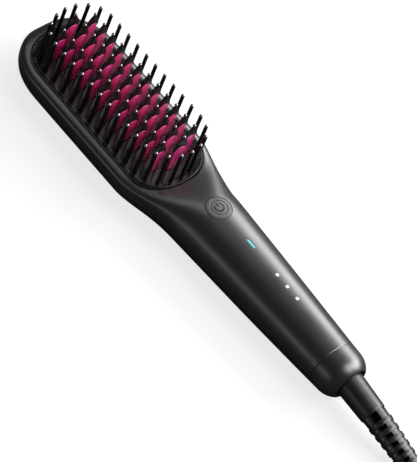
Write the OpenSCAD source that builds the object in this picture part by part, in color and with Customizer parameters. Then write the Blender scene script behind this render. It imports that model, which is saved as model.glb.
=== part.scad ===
// Hair straightening brush: a heated brush with a swivelling mains cord.
// It lies on its back along X, head tip at -X, bristles up along +Z.

/* [Body] */
// Length of the brush from the head tip to the end of the handle cap
body_len = 282; // [278:1:300]
// Width of the head
head_w = 63; // [62:0.5:70]
// Length of the rounded head tip
tip_len = 34; // [30:1:40]
// Height of the bristle bed above the surface that the brush lies on
bed_h = 25; // [24:0.5:28]
// Width of the grip beside the power button
grip_w = 43.4; // [41:0.2:48]
// Height of the grip at the power button
grip_h = 34; // [33:0.5:38]
// Length over which the head narrows to the grip
neck_len = 49; // [46:1:54]
// Width of the grip where the end cap starts
tail_w = 31.5; // [30:0.5:35]
// Height of the grip's top where the end cap starts
tail_h = 30.3; // [29:0.1:32]
// Rise of the grip's underside where the end cap starts
tail_rise = 1.9; // [1:0.1:3]
// Wall thickness of the shells and the end cap
wall = 2.2; // [1.8:0.1:2.4]
// Height of the joint between the front shell and the back shell
seam_h = 6.5; // [5.5:0.5:7.5]
// Length of the end cap
cap_len = 17; // [16:0.5:20]

/* [Bristle bed] */
// Pins in each of the two straight rows
pin_rows = 11; // [9:1:11]
// Distance between neighbouring pins in a row
pin_pitch = 8.2; // [7.8:0.1:8.4]
// Distance between the two straight rows of pins
pin_spread = 42.4; // [41:0.2:43]
// Reach of the curved end rows beyond the last straight pair
pin_reach = 16.8; // [15:0.2:18]
// Height of the pins above the bed
pin_h = 25.7; // [20:0.1:28]
// Diameter of a pin
pin_d = 2.3; // [1.8:0.1:2.5]
// Distance from the head tip to the first straight pair of pins
row_x = 29.1; // [28:0.1:32]
// Thickness of the bed
bed_t = 2.4; // [2:0.1:3]
// Width of the bed outside the pins
bed_margin = 3.6; // [3:0.1:4]
// Width of the trim ring round the bed
trim_w = 1.4; // [1:0.1:1.8]

/* [Heating fins] */
// Width of a fin
fin_w = 8.7; // [8:0.1:9]
// Thickness of a fin
fin_t = 1.9; // [1.5:0.1:2.1]
// Distance between the middle column of fins and a side column
fin_column = 11.9; // [11:0.1:12.5]
// Height of the side fins with their caps, above the bed
side_fin_h = 28.3; // [26:0.1:30]
// Height of the middle fins with their caps, above the bed
mid_fin_h = 30.2; // [28:0.1:32]
// Height of the arch at the top of a fin's blade
arch_rise = 2.5; // [2:0.1:3.5]
// Height of a cap from the foot of the arch to its peak
cap_rise = 10.6; // [9:0.1:12]
// Thickness of a fin's cap
cap_t = 2.6; // [2.4:0.1:3]
// Diameter of the round knob on a cap
knob_d = 2.2; // [1.6:0.1:2.4]
// Thickness of the heating plate
plate_t = 3; // [2.5:0.1:3.5]

/* [Controls] */
// Diameter of the ring round the power button
bezel_d = 15.9; // [15:0.1:17]
// Diameter of the power button
button_d = 9.8; // [9:0.1:10.4]
// Distance that the power button travels when it is pressed
button_travel = 0.8; // [0.5:0.05:1]
// Length of the status light
light_l = 6.7; // [5:0.1:8]
// Width of the status light
light_w = 2; // [1.6:0.1:2.4]
// Distance from the middle level light to the end cap
dots_back = 45.6; // [44:0.1:50]
// Distance between neighbouring level lights
dot_pitch = 8.9; // [7:0.1:9.5]
// Diameter of a level light
dot_d = 2.1; // [1.6:0.1:2.4]

/* [Cord] */
// Diameter of the cord
cord_d = 5.8; // [5.4:0.1:6.2]
// Diameter of the strain relief at the handle
relief_d = 17.4; // [16:0.1:18]
// Diameter of the strain relief where its smooth part ends
relief_mid_d = 15.8; // [14:0.1:16]
// Diameter of the strain relief where the cord leaves it
relief_end_d = 11.6; // [10:0.1:12]
// Distance between neighbouring rings of the strain relief
rib_pitch = 5.4; // [5:0.1:6]
// Slots along the strain relief
rib_count = 9; // [7:1:9]
// Radius of the coiled cord at its middle turn
coil_r = 34.8; // [34:0.1:35]
// Diameter of a plug pin
plug_pin_d = 4; // [3.8:0.1:4.2]
// Length of a plug pin outside the plug
plug_pin_l = 19; // [17:0.5:20]
// Distance between the plug pins
plug_pin_gap = 18.6; // [17:0.1:19.2]

/* [Hidden] */

$fn = 48;
eps = 0.01;
gap = 0.2;
run_gap = 0.3;
fit = 0.05;

// Places along the brush, measured from the head tip
row_end = row_x + (pin_rows - 1) * pin_pitch;
bed_mid = (row_x + row_end) / 2;
neck_x = row_end - 3;
grip_x = neck_x + neck_len;
rise_x = row_end + 9;
rise_len = 40;
button_x = grip_x + 1.5;
cap_x = body_len - cap_len;
dots_x = cap_x - dots_back;
light_x = mix(button_x, dots_x, 0.464);
land_end = button_x + 40;

// Levels
land_depth = 0.4;
head_top = bed_h - 0.5;
head_wide_z = 0.7 * bed_h;
axis_z = (tail_h + tail_rise) / 2;
bed_under = bed_h - bed_t;
plate_top = bed_under - 0.7;
plate_under = plate_top - plate_t;
heater_t = 1.6;
pad_t = 1;
clamp_t = 0.8;
strip_l = row_end - row_x + pin_pitch - 3.2;
strip_w = 8;
strip_y = 9;
lead_r = 0.8;
pad_top = plate_under - heater_t;
clamp_top = pad_top - pad_t;
clamp_under = clamp_top - clamp_t;
ledge_t = 2;
board_t = 1.6;
board_drop = 11.4;
board_top = grip_h - board_drop;
board_under = board_top - board_t;

// Shape of the outer surface
tip_n = 2.25;
nose_rise_len = 9;
bow_len = 48;
cap_round = 14;
cap_mouth = 3.8;
nose_len = 9;
ring_step = 9;

function mix(a, b, t) = a + (b - a) * t;
function clamp01(t) = min(max(t, 0), 1);
function ease(t) = pow(clamp01(t), 2) * (3 - 2 * clamp01(t));
function round_end(d, len, n) = d >= len ? 1 : pow(1 - pow((len - d) / len, n), 1 / n);
function cap_scale(x) = round_end(body_len - x + cap_mouth, cap_round, 2.2);

// Half width, top, underside and widest level of the body at a distance x from the tip
function grip_half(x) = mix(grip_w, tail_w, (x - grip_x) / (cap_x - grip_x)) / 2;
function neck_part(x) = pow(1 - pow(clamp01((x - neck_x) / neck_len), 1.8), 3.9);
function half_w(x) = mix(grip_half(x), head_w / 2, neck_part(x)) * round_end(x, tip_len, tip_n);
function grip_top(x) = grip_h - (grip_h - tail_h) * pow(clamp01((x - grip_x) / (cap_x - grip_x)), 1.5);
function top_z(x) = mix(head_top, grip_top(x), ease((x - rise_x) / rise_len));
function land_z(x) =
    (tail_rise + land_depth) * pow(max(x - land_end, 0) / (cap_x - land_end), 1.6) - land_depth;
function wide_z(x) = mix(head_wide_z, axis_z, ease((x - neck_x) / neck_len));
function nose_top(x) = mix(wide_z(x), top_z(x), round_end(x, nose_rise_len, 2.2));
function nose_low(x) = mix(wide_z(x), land_z(x), round_end(x, bow_len, 2.4));
function up_n(x) = mix(5, 2.1, ease((x - neck_x - 11) / 35));
function low_n(x) = mix(2.4, 2.6, ease((x - neck_x - 11) / 35));

// One ring of the body's surface, drawn in by inset
function ring_point(x, a, w, up, low, zc) =
    let (n = sin(a) >= 0 ? up_n(x) : low_n(x))
    let (h = sin(a) >= 0 ? up - zc : zc - low)
    [x, w * sign(cos(a)) * pow(abs(cos(a)), 2 / n), zc + h * sign(sin(a)) * pow(abs(sin(a)), 2 / n)];
function body_arc(x, inset, a0, a1, m) =
    let (s = cap_scale(x), zc = wide_z(x))
    [for (j = [0:m])
        ring_point(x, mix(a0, a1, j / m), half_w(x) * s - inset, zc + (nose_top(x) - zc) * s - inset,
            zc - (zc - nose_low(x)) * s + inset, zc)];
function body_ring(x, inset) = body_arc(x, inset, 0, 360 - ring_step, 360 / ring_step - 1);

// Angle below the widest level at which a ring reaches the shells' joint
function seam_angle(x, inset) =
    let (part = (wide_z(x) - seam_h) / (wide_z(x) - nose_low(x) - inset))
    asin(min(pow(max(part, 0), low_n(x) / 2), 0.985));
function dropped(points) = [for (p = points) [p[0], p[1], min(p[2], seam_h)]];

// Rings of the closed nose, of the front shell and of the back shell
function nose_ring(x) =
    let (a = seam_angle(nose_len, 0))
    concat(body_arc(x, 0, -a, 180 + a, 24), body_arc(x, 0, 180 + a + (180 - 2 * a) / 16,
        360 - a - (180 - 2 * a) / 16, 14));
function front_ring(x) =
    let (a = seam_angle(x, 0), b = seam_angle(x, wall))
    concat(body_arc(x, 0, -a, 180 + a, 24), body_arc(x, wall, 180 + b, -b, 14));
function back_ring(x) =
    let (a = seam_angle(x, 0), b = seam_angle(x, wall))
    concat(body_arc(x, 0, 180 + a, 360 - a, 14), dropped(body_arc(x, wall, 360 - b, 180 + b, 8)));

// Height of the outer surface over a point on the brush
function skin_z(x, y) =
    wide_z(x) + (top_z(x) - wide_z(x)) * pow(1 - pow(abs(y) / half_w(x), up_n(x)), 1 / up_n(x));

nose_rings = [eps, 0.6, 1.8, 3.6, 6, nose_len];
tip_rings = [nose_len + 0.1, 12, 15, 19, 23, 28, tip_len];
neck_rings = [for (i = [0:13]) neck_x + 4 * i];
grip_rings = [for (i = [1:5]) mix(neck_x + 52, cap_x, i / 5)];
shell_rings = concat(tip_rings, [41, bow_len, bed_mid], neck_rings, grip_rings);
cap_rings = [for (d = [cap_len - gap, 12, 9, 7, 5, 3.5, 2.2, 1.2, 0.5, 0]) body_len - d];

// Outline of the bed: two straight sides closed by half ovals
oval_n = 2.2;
function oval_end(w, reach, side) = [for (a = [-90:10:90]) side *
    [reach * pow(max(cos(a), 0), 2 / oval_n), w * sign(sin(a)) * pow(abs(sin(a)), 2 / oval_n)]];
function bed_outline(grow) =
    let (w = pin_spread / 2 + bed_margin + grow, reach = pin_reach + bed_margin - 0.5 + grow)
    concat([for (p = oval_end(w, reach, 1)) p + [row_end, 0]],
        [for (p = oval_end(w, reach, -1)) p + [row_x, 0]]);

// Places of the pins and the fins, seen from above
pin_y = pin_spread / 2;
end_angles = [25, 48, 70, 90, 110, 132, 155];
pin_places = concat(
    [for (i = [0:pin_rows - 1], s = [-1, 1]) [row_x + i * pin_pitch, s * pin_y]],
    [for (a = end_angles) [row_x - pin_reach * sin(a), pin_y * cos(a)]],
    [for (a = end_angles) [row_end + pin_reach * sin(a), pin_y * cos(a)]]);
mid_fins = [for (i = [-1:pin_rows]) [row_x + i * pin_pitch, 0, mid_fin_h]];
side_fins = [for (i = [0:pin_rows], s = [-1, 1])
    [row_x + (i - 0.5) * pin_pitch, s * fin_column, side_fin_h]];
fins = concat(mid_fins, side_fins);
arch_r = (pow(fin_w / 2, 2) + pow(arch_rise, 2)) / (2 * arch_rise);
cap_w = fin_w + 0.5;
cap_shift = (pow(cap_rise, 2) - pow(cap_w / 2, 2)) / cap_w;
cap_r = cap_w / 2 + cap_shift;
plate_half = fin_column + fin_w / 2 + 1.8;
plate_ends = [row_x - pin_pitch - 3, row_end + pin_pitch + 3];
plate_screw_places = [for (x = [plate_ends[0] + 3.4, plate_ends[1] - 3.4], y = [-9, 9]) [x, y]];
clamp_half = [strip_l / 2 - 2.2, plate_half - 2];
clamp_screw_x = 8.5 * pin_pitch / 2;
clamp_screw_y = clamp_half[1] - 1.85;
clamp_screw_places = [for (x = [-1, 1], y = [-1, 1]) [bed_mid + x * clamp_screw_x, y * clamp_screw_y]];
screw_r = 1.2;
head_r = 2.2;
head_h = 1.5;
case_screw_r = 1.45;
case_screw_l = 14;
board_screw_r = 1;
board_screw_l = board_t + 4;

// Places in the handle
case_screw_places = [[neck_x + 33, 12], [neck_x + 33, -12], [cap_x - 23.5, 0]];
case_boss_z = 9;
case_head_z = 3.2;
tab_places = [bed_mid - 22, bed_mid + 22, button_x + 10, button_x + 60];
board_ends = [button_x - 11, cap_x - 29.5];
board_half = 10;
board_screw_places = [for (x = [board_ends[0] + 2.5, board_ends[1] - 2.5], y = [-7.6, 7.6]) [x, y]];
bezel_top = grip_h + 0.3;
bezel_low = grip_h - 5.6;
bezel_rim = 0.8;
switch_h = 3.4;
plunger_h = 2.8;
plunger_z = board_top + 0.4 + run_gap + button_travel;
window_z = board_top + 1.2;

// Swivel
bearing_x = cap_x + 3;
mouth_x = bearing_x + 6;
mouth_r = 10.2;
neck_r = 6;
hub_r = 5;
slip_r = hub_r + 1;
slip_w = 2.4;
blade_t = 0.4;
blade_z = axis_z - slip_r - run_gap - 0.2 - blade_t;
block_z = 5;
ring_places = [cap_x - 8.5, cap_x - 4.5];
relief_x = mouth_x + run_gap;
stub_l = 7;

// Strain relief: a straight sleeve that droops, then a curve down and back to level
droop = 6.8;
dip = 11.3;
pivot_x = relief_x + 2;
sleeve_l = 27;
dive_l = 21;
rise_l = 33.5;
function arc_step(t0, t1, l) = [l * (sin(t1) - sin(t0)), l * (cos(t1) - cos(t0))] / ((t1 - t0) * PI / 180);
function relief_angle(s) = s < sleeve_l ? droop
    : s < sleeve_l + dive_l ? mix(droop, dip, (s - sleeve_l) / dive_l)
    : dip * (1 - (s - sleeve_l - dive_l) / rise_l);
function relief_at(s) =
    let (a = min(s, sleeve_l), b = min(max(s - sleeve_l, 0), dive_l), c = max(s - sleeve_l - dive_l, 0))
    let (p = a * [cos(droop), -sin(droop)])
    let (q = b > 0 ? arc_step(droop, mix(droop, dip, b / dive_l), b) : [0, 0])
    let (r = c > 0 ? arc_step(dip, dip * (1 - c / rise_l) + eps / 10, c) : [0, 0])
    [pivot_x, 0, axis_z] + [p[0] + q[0] + r[0], 0, p[1] + q[1] + r[1]];
relief_l = sleeve_l + dive_l + rise_l;
relief_r = function(s) s < sleeve_l ? mix(relief_d, relief_mid_d, s / sleeve_l) / 2
    : mix(relief_mid_d, relief_end_d, (s - sleeve_l) / (relief_l - sleeve_l)) / 2;
relief_core_r = cord_d / 2 + 0.9;
rib_t = rib_pitch - 2.2;
web_half = 15;
web_rings = 2 * rib_count;

// Cord: the lead to the coil, the coil and the tail to the plug
cord_z = cord_d / 2 + 0.05;
relief_end = relief_at(relief_l);
coil_pitch = cord_d + 0.5;
layer_h = cord_d + 0.6;
coil_layers = 2;
coil_turns = 7.7;
coil_steps = round(coil_turns * 24);
coil_start = 140;
layer_turns = coil_turns / coil_layers;
coil_out = coil_r + layer_turns * coil_pitch / 2;
lead_route = [[0, 0, relief_end[2]], [10, 0, 6.1], [18, 1, 5.4], [25, 3.5, 4.4], [32, 7.6, 3.4],
    [37.6, 12.9, cord_z], [41.5, 17.5, cord_z]];
tail_route = [[0, 0, cord_z + layer_h], [-5, 2, 9.2], [-13, 4.4, 8.2], [-22, 5.4, 7.2], [-30, 5.4, 7]];
lead_last = lead_route[len(lead_route) - 1];
coil_centre = [relief_end[0] + lead_last[0], lead_last[1]] + cord_d * coil_heading(0)
    - coil_out * [cos(coil_start), sin(coil_start)];

// Level direction in which the cord runs after so many turns of the coil
function coil_heading(turn) = [sin(coil_start - 360 * turn), -cos(coil_start - 360 * turn)];
function coil_end(turn, way) =
    let (along = way * cord_d * coil_heading(turn))
    coil_point(turn) + [along[0], along[1], 0];
function coil_point(turn) =
    let (back = turn > layer_turns ? turn - layer_turns : layer_turns - turn)
    let (r = coil_out - coil_pitch * (layer_turns - back))
    let (a = coil_start - 360 * turn)
    let (z = cord_z + layer_h * clamp01((turn - layer_turns) * 2 + 0.5))
    [coil_centre[0] + r * cos(a), coil_centre[1] + r * sin(a), z];
coil_rings = concat([coil_end(0, -1)],
    [for (i = [0:coil_steps]) coil_point(coil_turns * i / coil_steps)], [coil_end(coil_turns, 1)]);
coil_len = path_length(coil_rings);

// A smooth curve through a list of points
function curve(p, i, t) =
    let (a = p[max(i - 1, 0)], b = p[i], c = p[i + 1], d = p[min(i + 2, len(p) - 1)])
    0.5 * (2 * b + t * (c - a) + t * t * (2 * a - 5 * b + 4 * c - d) + t * t * t * (3 * b - a - 3 * c + d));
function smooth_path(p, n) = concat(
    [for (i = [0:len(p) - 2], j = [0:n - 1]) curve(p, i, j / n)], [p[len(p) - 1]]);
function unit(v) = v / norm(v);
function path_length(p, i = 0) = i >= len(p) - 1 ? 0 : norm(p[i + 1] - p[i]) + path_length(p, i + 1);
function path_dir(p, i) = unit(p[min(i + 1, len(p) - 1)] - p[max(i - 1, 0)]);
function tube_ring(c, d, r, n, up) =
    let (u = unit(cross(up, d)), v = cross(d, u))
    [for (k = [0:n - 1]) c + r * (cos(360 * k / n) * u + sin(360 * k / n) * v)];

// Least distance between two windings of the coil
function far_gap(i) = min([for (j = [i + 14:1:len(coil_rings) - 1]) norm(coil_rings[i] - coil_rings[j])]);
coil_gap = min([for (i = [0:len(coil_rings) - 15]) far_gap(i)]) - cord_d;
tail_place = coil_rings[len(coil_rings) - 1];
lead_points = [for (p = smooth_path(lead_route, 3)) [relief_end[0] + p[0], p[1], p[2]]];
tail_points = [for (p = smooth_path(tail_route, 3)) [tail_place[0] + p[0], tail_place[1] + p[1], p[2]]];
cord_len = path_length(lead_points) + coil_len + path_length(tail_points);
echo(coil_gap = coil_gap, cord_len = cord_len);
plug_place = tail_points[len(tail_points) - 1];
plug_body_l = 36;
plug_body_w = 26.2;
plug_body_h = 13.8;

// Triangles that close a band-shaped ring, whose first points are its outer arc
function band(n, outer) =
    let (inner = [for (i = [0:outer - 1]) n - 1 - round(i * (n - outer - 1) / (outer - 1))])
    let (late = [for (i = [0:outer - 2]) 2 * i > outer ? 1 : 0])
    concat([for (i = [0:outer - 2]) [i, i + 1, inner[i + late[i]]]],
        [for (i = [0:outer - 2]) if (inner[i] != inner[i + 1]) [i + 1 - late[i], inner[i + 1], inner[i]]]);
function flipped(faces) = [for (f = faces) [for (j = [len(f) - 1:-1:0]) f[j]]];
function raised(faces, k) = [for (f = faces) [for (v = f) v + k]];

// Closed skin over rings of points that all have the same number of points.
// A ring with an outer arc of so many points is a band, which is closed with triangles.
module skin(rings, first_arc = 0, last_arc = 0) {
    n = len(rings[0]);
    m = len(rings);
    whole = [[for (j = [0:n - 1]) j]];
    points = [for (r = rings, p = r) p];
    sides = [for (i = [0:m - 2], j = [0:n - 1], k = [0, 1])
        let (a = i * n + j, b = i * n + (j + 1) % n)
        k == 0 ? [a, b + n, b] : [a, a + n, b + n]];
    first = first_arc > 0 ? band(n, first_arc) : whole;
    last = flipped(raised(last_arc > 0 ? band(n, last_arc) : whole, (m - 1) * n));
    polyhedron(points, concat(sides, first, last), convexity = 6);
}

module tube(path, r, n, up = [0, 0, 1]) {
    skin([for (i = [0:len(path) - 1]) tube_ring(path[i], path_dir(path, i), r, n, up)]);
}

// Moves a piece from the head tip's frame to the middle of the brush
module in_place() {
    translate([-body_len / 2, 0, 0]) children();
}

module bed_prism(grow, z0, z1) {
    translate([0, 0, z0]) linear_extrude(z1 - z0) polygon(bed_outline(grow));
}

module screw(head_r, head_h, shaft_r, shaft_l) {
    translate([0, 0, -head_h]) cylinder(h = head_h, r = head_r);
    translate([0, 0, -eps]) cylinder(h = shaft_l + eps, r = shaft_r);
}

// Round posts that hang from the front shell's roof down to level z0
module hanging_post(x, y, z0, r) {
    translate([x, y, z0]) cylinder(h = skin_z(x, y) - wall / 2 - z0, r = r);
}

// Shelf inside the front shell that the bed and its trim ring sit on
module ledge() {
    bed_prism(trim_w + 2.6, bed_under - ledge_t, bed_under);
}

module capsule(l, w, h) {
    translate([-(l - w) / 2, -w / 2, 0]) cube([l - w, w, h]);
    for (s = [-1, 1]) translate([s * (l - w) / 2, 0, 0]) cylinder(h = h, d = w);
}

module front_shell() {
    color([0.14, 0.14, 0.145]) in_place() difference() {
        union() {
            skin(concat([for (x = nose_rings) nose_ring(x)], [for (x = shell_rings) front_ring(x)]),
                last_arc = 25);
            ledge();
            for (p = case_screw_places) hanging_post(p[0], p[1], case_boss_z, 3.2);
            for (p = board_screw_places) hanging_post(p[0], p[1], board_top, 2.2);
        }
        bed_prism(trim_w + 2 * gap, bed_under, 60);
        bed_prism(-2, bed_under - ledge_t - 1, 60);
        for (p = case_screw_places)
            translate([p[0], p[1], case_boss_z - 1]) cylinder(h = 12, r = case_screw_r + fit);
        for (p = board_screw_places)
            translate([p[0], p[1], board_top - 1]) cylinder(h = 6, r = board_screw_r + fit);
        translate([button_x, 0, board_top]) cylinder(h = 30, d = bezel_d + gap);
        translate([light_x, 0, board_top]) capsule(light_l + gap, light_w + gap, 30);
        for (i = [-1:1])
            translate([dots_x + i * dot_pitch, 0, board_top]) cylinder(h = 30, d = dot_d + gap);
    }
}

// Locating tabs that stand on the back shell and reach up inside the front shell
module tab(x, side) {
    y = (body_arc(x, wall, -seam_angle(x, wall), 0, 1)[0][1] - 0.5) * side;
    translate([x - 4, y - 0.6 - 0.6 * side, seam_h - 2]) cube([8, 1.2, 4]);
    translate([x - 4, y - 1.2 + 0.6 * side, seam_h - 2]) cube([8, 2.4, 1.9]);
}

module back_shell() {
    color([0.14, 0.14, 0.145]) in_place() difference() {
        union() {
            skin([for (x = shell_rings) back_ring(x)], first_arc = 15, last_arc = 15);
            for (x = tab_places, side = [-1, 1]) tab(x, side);
            for (p = case_screw_places)
                translate([p[0], p[1], 1.5]) cylinder(h = case_boss_z - 1.5, r = 4);
            translate([cap_x - 19, -6, block_z - 3]) cube([8, 12, 3]);
        }
        for (p = case_screw_places) translate([p[0], p[1], 0]) {
            translate([0, 0, -1]) cylinder(h = 1 + case_head_z, r = head_r + 0.7);
            cylinder(h = 20, r = case_screw_r + 0.25);
        }
        translate([-10, -60, -10]) cube([body_len + 20, 120, 10]);
    }
}

module bristle_bed() {
    lip_w = 0.9;
    lip_h = 0.5;
    color([0.05, 0.05, 0.055]) in_place() difference() {
        union() {
            bed_prism(0, bed_under, bed_h);
            difference() {
                bed_prism(0, bed_h - eps, bed_h + lip_h);
                bed_prism(-lip_w, bed_h - 1, bed_h + 1);
            }
            for (p = plate_screw_places)
                translate([p[0], p[1], plate_top]) cylinder(h = bed_under - plate_top + eps, r = 2.2);
        }
        for (p = fins)
            translate([p[0] - fin_t / 2 - run_gap, p[1] - fin_w / 2 - run_gap, plate_top])
                cube([fin_t + 2 * run_gap, fin_w + 2 * run_gap, 10]);
        for (p = plate_screw_places)
            translate([p[0], p[1], plate_top - 1])
                cylinder(h = 1 + bed_h - 0.8 - plate_top, r = screw_r + fit);
    }
}

// Pins with a flared foot on the bed and a round tip
module bristle_pins() {
    r = pin_d / 2;
    tip = [for (a = [0:15:90]) [r * cos(a), pin_h - r + r * sin(a)]];
    color([0.05, 0.05, 0.055]) in_place() for (p = pin_places) translate([p[0], p[1], bed_h])
        rotate_extrude($fn = 24) polygon(concat([[0, 0], [r + 0.5, 0], [r, 1.4]], tip));
}

module bed_trim() {
    color([0.1, 0.1, 0.105]) in_place() difference() {
        bed_prism(gap + trim_w, bed_under, bed_h - 0.1);
        bed_prism(gap, bed_under - 1, bed_h + 1);
    }
}

// Profile of a fin's blade in the Y-Z plane, from level 0 up to its arch
module blade_profile(shoulder) {
    translate([-fin_w / 2, 0]) square([fin_w, shoulder + eps]);
    intersection() {
        translate([0, shoulder + arch_rise - arch_r]) circle(r = arch_r, $fn = 64);
        translate([-fin_w / 2, shoulder]) square([fin_w, arch_rise + 1]);
    }
}

// Stands a Y-Z profile upright and gives it a thickness along X
module upright(t) {
    translate([-t / 2, 0, 0]) rotate([90, 0, 90]) linear_extrude(t) children();
}

module heating_plate() {
    color([0.72, 0.13, 0.40]) in_place() difference() {
        translate([plate_ends[0], -plate_half, plate_under])
            cube([plate_ends[1] - plate_ends[0], 2 * plate_half, plate_t]);
        for (p = plate_screw_places)
            translate([p[0], p[1], plate_under - 1]) cylinder(h = plate_t + 2, r = screw_r + fit);
        for (p = clamp_screw_places)
            translate([p[0], p[1], plate_under - 1]) cylinder(h = 3.2, r = screw_r + fit);
    }
}

// Blades that stand on the heating plate and pass through the bed's slots
module heating_fins() {
    color([0.72, 0.13, 0.40]) in_place() for (p = fins) translate([p[0], p[1], plate_top])
        upright(fin_t) blade_profile(bed_h + p[2] - knob_d - cap_rise - plate_top);
}

// A pointed arch that sits on a blade's round top and carries a round knob
module fin_cap() {
    difference() {
        upright(cap_t) intersection() {
            translate([-cap_shift, 0]) circle(r = cap_r, $fn = 96);
            translate([cap_shift, 0]) circle(r = cap_r, $fn = 96);
            translate([-cap_w, 0]) square([2 * cap_w, cap_rise]);
        }
        upright(cap_t + 1) translate([0, arch_rise - arch_r]) circle(r = arch_r, $fn = 64);
    }
    translate([0, 0, cap_rise + knob_d / 2 - 0.6]) sphere(d = knob_d);
    translate([0, 0, cap_rise - 1.6]) cylinder(h = 1.8, d = knob_d - 0.6);
}

module fin_caps() {
    color([0.07, 0.07, 0.075]) in_place()
        for (p = fins) translate([p[0], p[1], bed_h + p[2] - knob_d - cap_rise]) fin_cap();
}

module heater_strips() {
    color([0.85, 0.83, 0.78]) in_place() for (s = [-1, 1])
        translate([bed_mid - strip_l / 2, s * strip_y - strip_w / 2, pad_top])
            cube([strip_l, strip_w, heater_t]);
}

module clamp_holes(z) {
    for (p = clamp_screw_places) translate([p[0], p[1], z - 1]) cylinder(h = 4, r = screw_r + fit);
}

module insulation_pad() {
    color([0.8, 0.72, 0.5]) in_place() difference() {
        translate([bed_mid - clamp_half[0], -clamp_half[1], clamp_top])
            cube([2 * clamp_half[0], 2 * clamp_half[1], pad_t]);
        clamp_holes(clamp_top);
    }
}

module heater_clamp() {
    color([0.7, 0.7, 0.72]) in_place() difference() {
        translate([bed_mid - clamp_half[0], -clamp_half[1], clamp_under])
            cube([2 * clamp_half[0], 2 * clamp_half[1], clamp_t]);
        clamp_holes(clamp_under);
    }
}

module clamp_screws() {
    color([0.75, 0.75, 0.77]) in_place() for (p = clamp_screw_places)
        translate([p[0], p[1], clamp_under]) screw(head_r, head_h, screw_r, clamp_t + pad_t + heater_t + 2);
}

module plate_screws() {
    color([0.75, 0.75, 0.77]) in_place() for (p = plate_screw_places)
        translate([p[0], p[1], plate_under]) screw(head_r, head_h, screw_r, plate_t + 2.2);
}

module thermal_fuse() {
    color([0.8, 0.75, 0.6]) in_place() translate([bed_mid - 6, 0, clamp_under - 2 - fit])
        rotate([0, 90, 0]) cylinder(h = 12, r = 2);
}

module thermistor() {
    color([0.2, 0.35, 0.6]) in_place() translate([bed_mid + 14, 0, plate_under - heater_t / 2])
        rotate([0, 90, 0]) cylinder(h = 6, r = heater_t / 2 - fit);
}

module heater_leads() {
    strip_end = bed_mid + strip_l / 2 - lead_r - 0.1;
    for (s = [-1, 1]) {
        route = [[strip_end, strip_y * s, pad_top - 1], [strip_end, strip_y * s, pad_top - 3],
            [strip_end + 7, 8 * s, pad_top - 5.3], [strip_end + 21, 6 * s, pad_top - 5.3],
            [button_x - 15, 4 * s, board_under - 7], [button_x - 8, 4 * s, board_under - 4],
            [button_x - 8, 4 * s, board_under - 1.5]];
        color([0.75, 0.1, 0.1]) in_place() lead(route, pad_top - fit, board_under - fit);
    }
}

// Wire along a route, with an upright end at each level
module lead(route, z0, z1) {
    first = route[0];
    last = route[len(route) - 1];
    tube(concat([[first[0], first[1], z0]], smooth_path(route, 2), [[last[0], last[1], z1]]), lead_r, 6,
        [0, 1, 0]);
}

module circuit_board() {
    color([0.1, 0.35, 0.18]) in_place() difference() {
        translate([board_ends[0], -board_half, board_under])
            cube([board_ends[1] - board_ends[0], 2 * board_half, board_t]);
        for (p = board_screw_places)
            translate([p[0], p[1], board_under - 1]) cylinder(h = 4, r = board_screw_r + 0.15);
    }
}

module board_screws() {
    color([0.75, 0.75, 0.77]) in_place() for (p = board_screw_places)
        translate([p[0], p[1], board_under]) screw(head_r - 0.2, head_h - 0.1, board_screw_r, board_screw_l);
}

module tact_switch() {
    color([0.12, 0.12, 0.12]) in_place() translate([button_x, 0, board_top]) difference() {
        translate([-3.1, -3.1, 0]) cube([6.2, 6.2, switch_h]);
        translate([0, 0, 0.4]) cylinder(h = 5, r = 1.75);
    }
}

module switch_plunger() {
    color([0.85, 0.85, 0.85]) in_place() translate([button_x, 0, plunger_z])
        cylinder(h = plunger_h, r = 1.65);
}

module status_leds() {
    color([0.95, 0.95, 0.8]) in_place()
        for (x = [light_x, dots_x - dot_pitch, dots_x, dots_x + dot_pitch])
            translate([x - 1, -0.65, board_top]) cube([2, 1.3, 1]);
}

module capacitor() {
    x = mix(board_ends[0], board_ends[1], 0.68);
    color([0.15, 0.2, 0.4]) in_place() translate([x, 0, board_under - 4 - fit])
        rotate([0, 90, 0]) cylinder(h = 14, r = 4, center = true);
}

module triac() {
    x = mix(board_ends[0], board_ends[1], 0.34);
    color([0.1, 0.1, 0.1]) in_place() translate([x - 7.5, -5, board_under - 4.5]) cube([15, 10, 4.5]);
}

module supply_leads() {
    for (s = [-1, 1]) {
        route = [[cap_x - 17, 3 * s, blade_z + 1.4], [cap_x - 17, 3 * s, blade_z + 2.8],
            [cap_x - 22, 5.6 * s, board_under - 5], [cap_x - 27, 4.8 * s, board_under - 4],
            [cap_x - 33, 3 * s, board_under - 4], [cap_x - 35, 2.6 * s, board_under - 1.5]];
        color([0.75, 0.1, 0.1]) in_place() lead(route, blade_z + blade_t + fit, board_under - fit);
    }
}

module button_bezel() {
    edge = 0.5;
    color([0.2, 0.2, 0.205]) in_place() translate([button_x, 0, 0]) rotate_extrude() polygon([
        [button_d / 2 + gap, bezel_low], [bezel_d / 2 + bezel_rim, bezel_low],
        [bezel_d / 2 + bezel_rim, bezel_low + 0.9], [bezel_d / 2, bezel_low + 0.9],
        [bezel_d / 2, bezel_top - edge], [bezel_d / 2 - edge, bezel_top],
        [button_d / 2 + gap + 0.3, bezel_top], [button_d / 2 + gap, bezel_top - 0.3]]);
}

module power_button() {
    foot_z = plunger_z + plunger_h;
    rim_z = bezel_low - run_gap;
    color([0.18, 0.18, 0.185]) in_place() translate([button_x, 0, 0]) rotate_extrude() polygon([
        [0, foot_z], [1.6, foot_z], [1.6, rim_z - 1], [button_d / 2 + 1, rim_z - 1],
        [button_d / 2 + 1, rim_z], [button_d / 2, rim_z], [button_d / 2, bezel_top - 0.5],
        [button_d / 2 - 0.4, bezel_top - 0.1], [0, bezel_top - 0.1]]);
}

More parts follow.
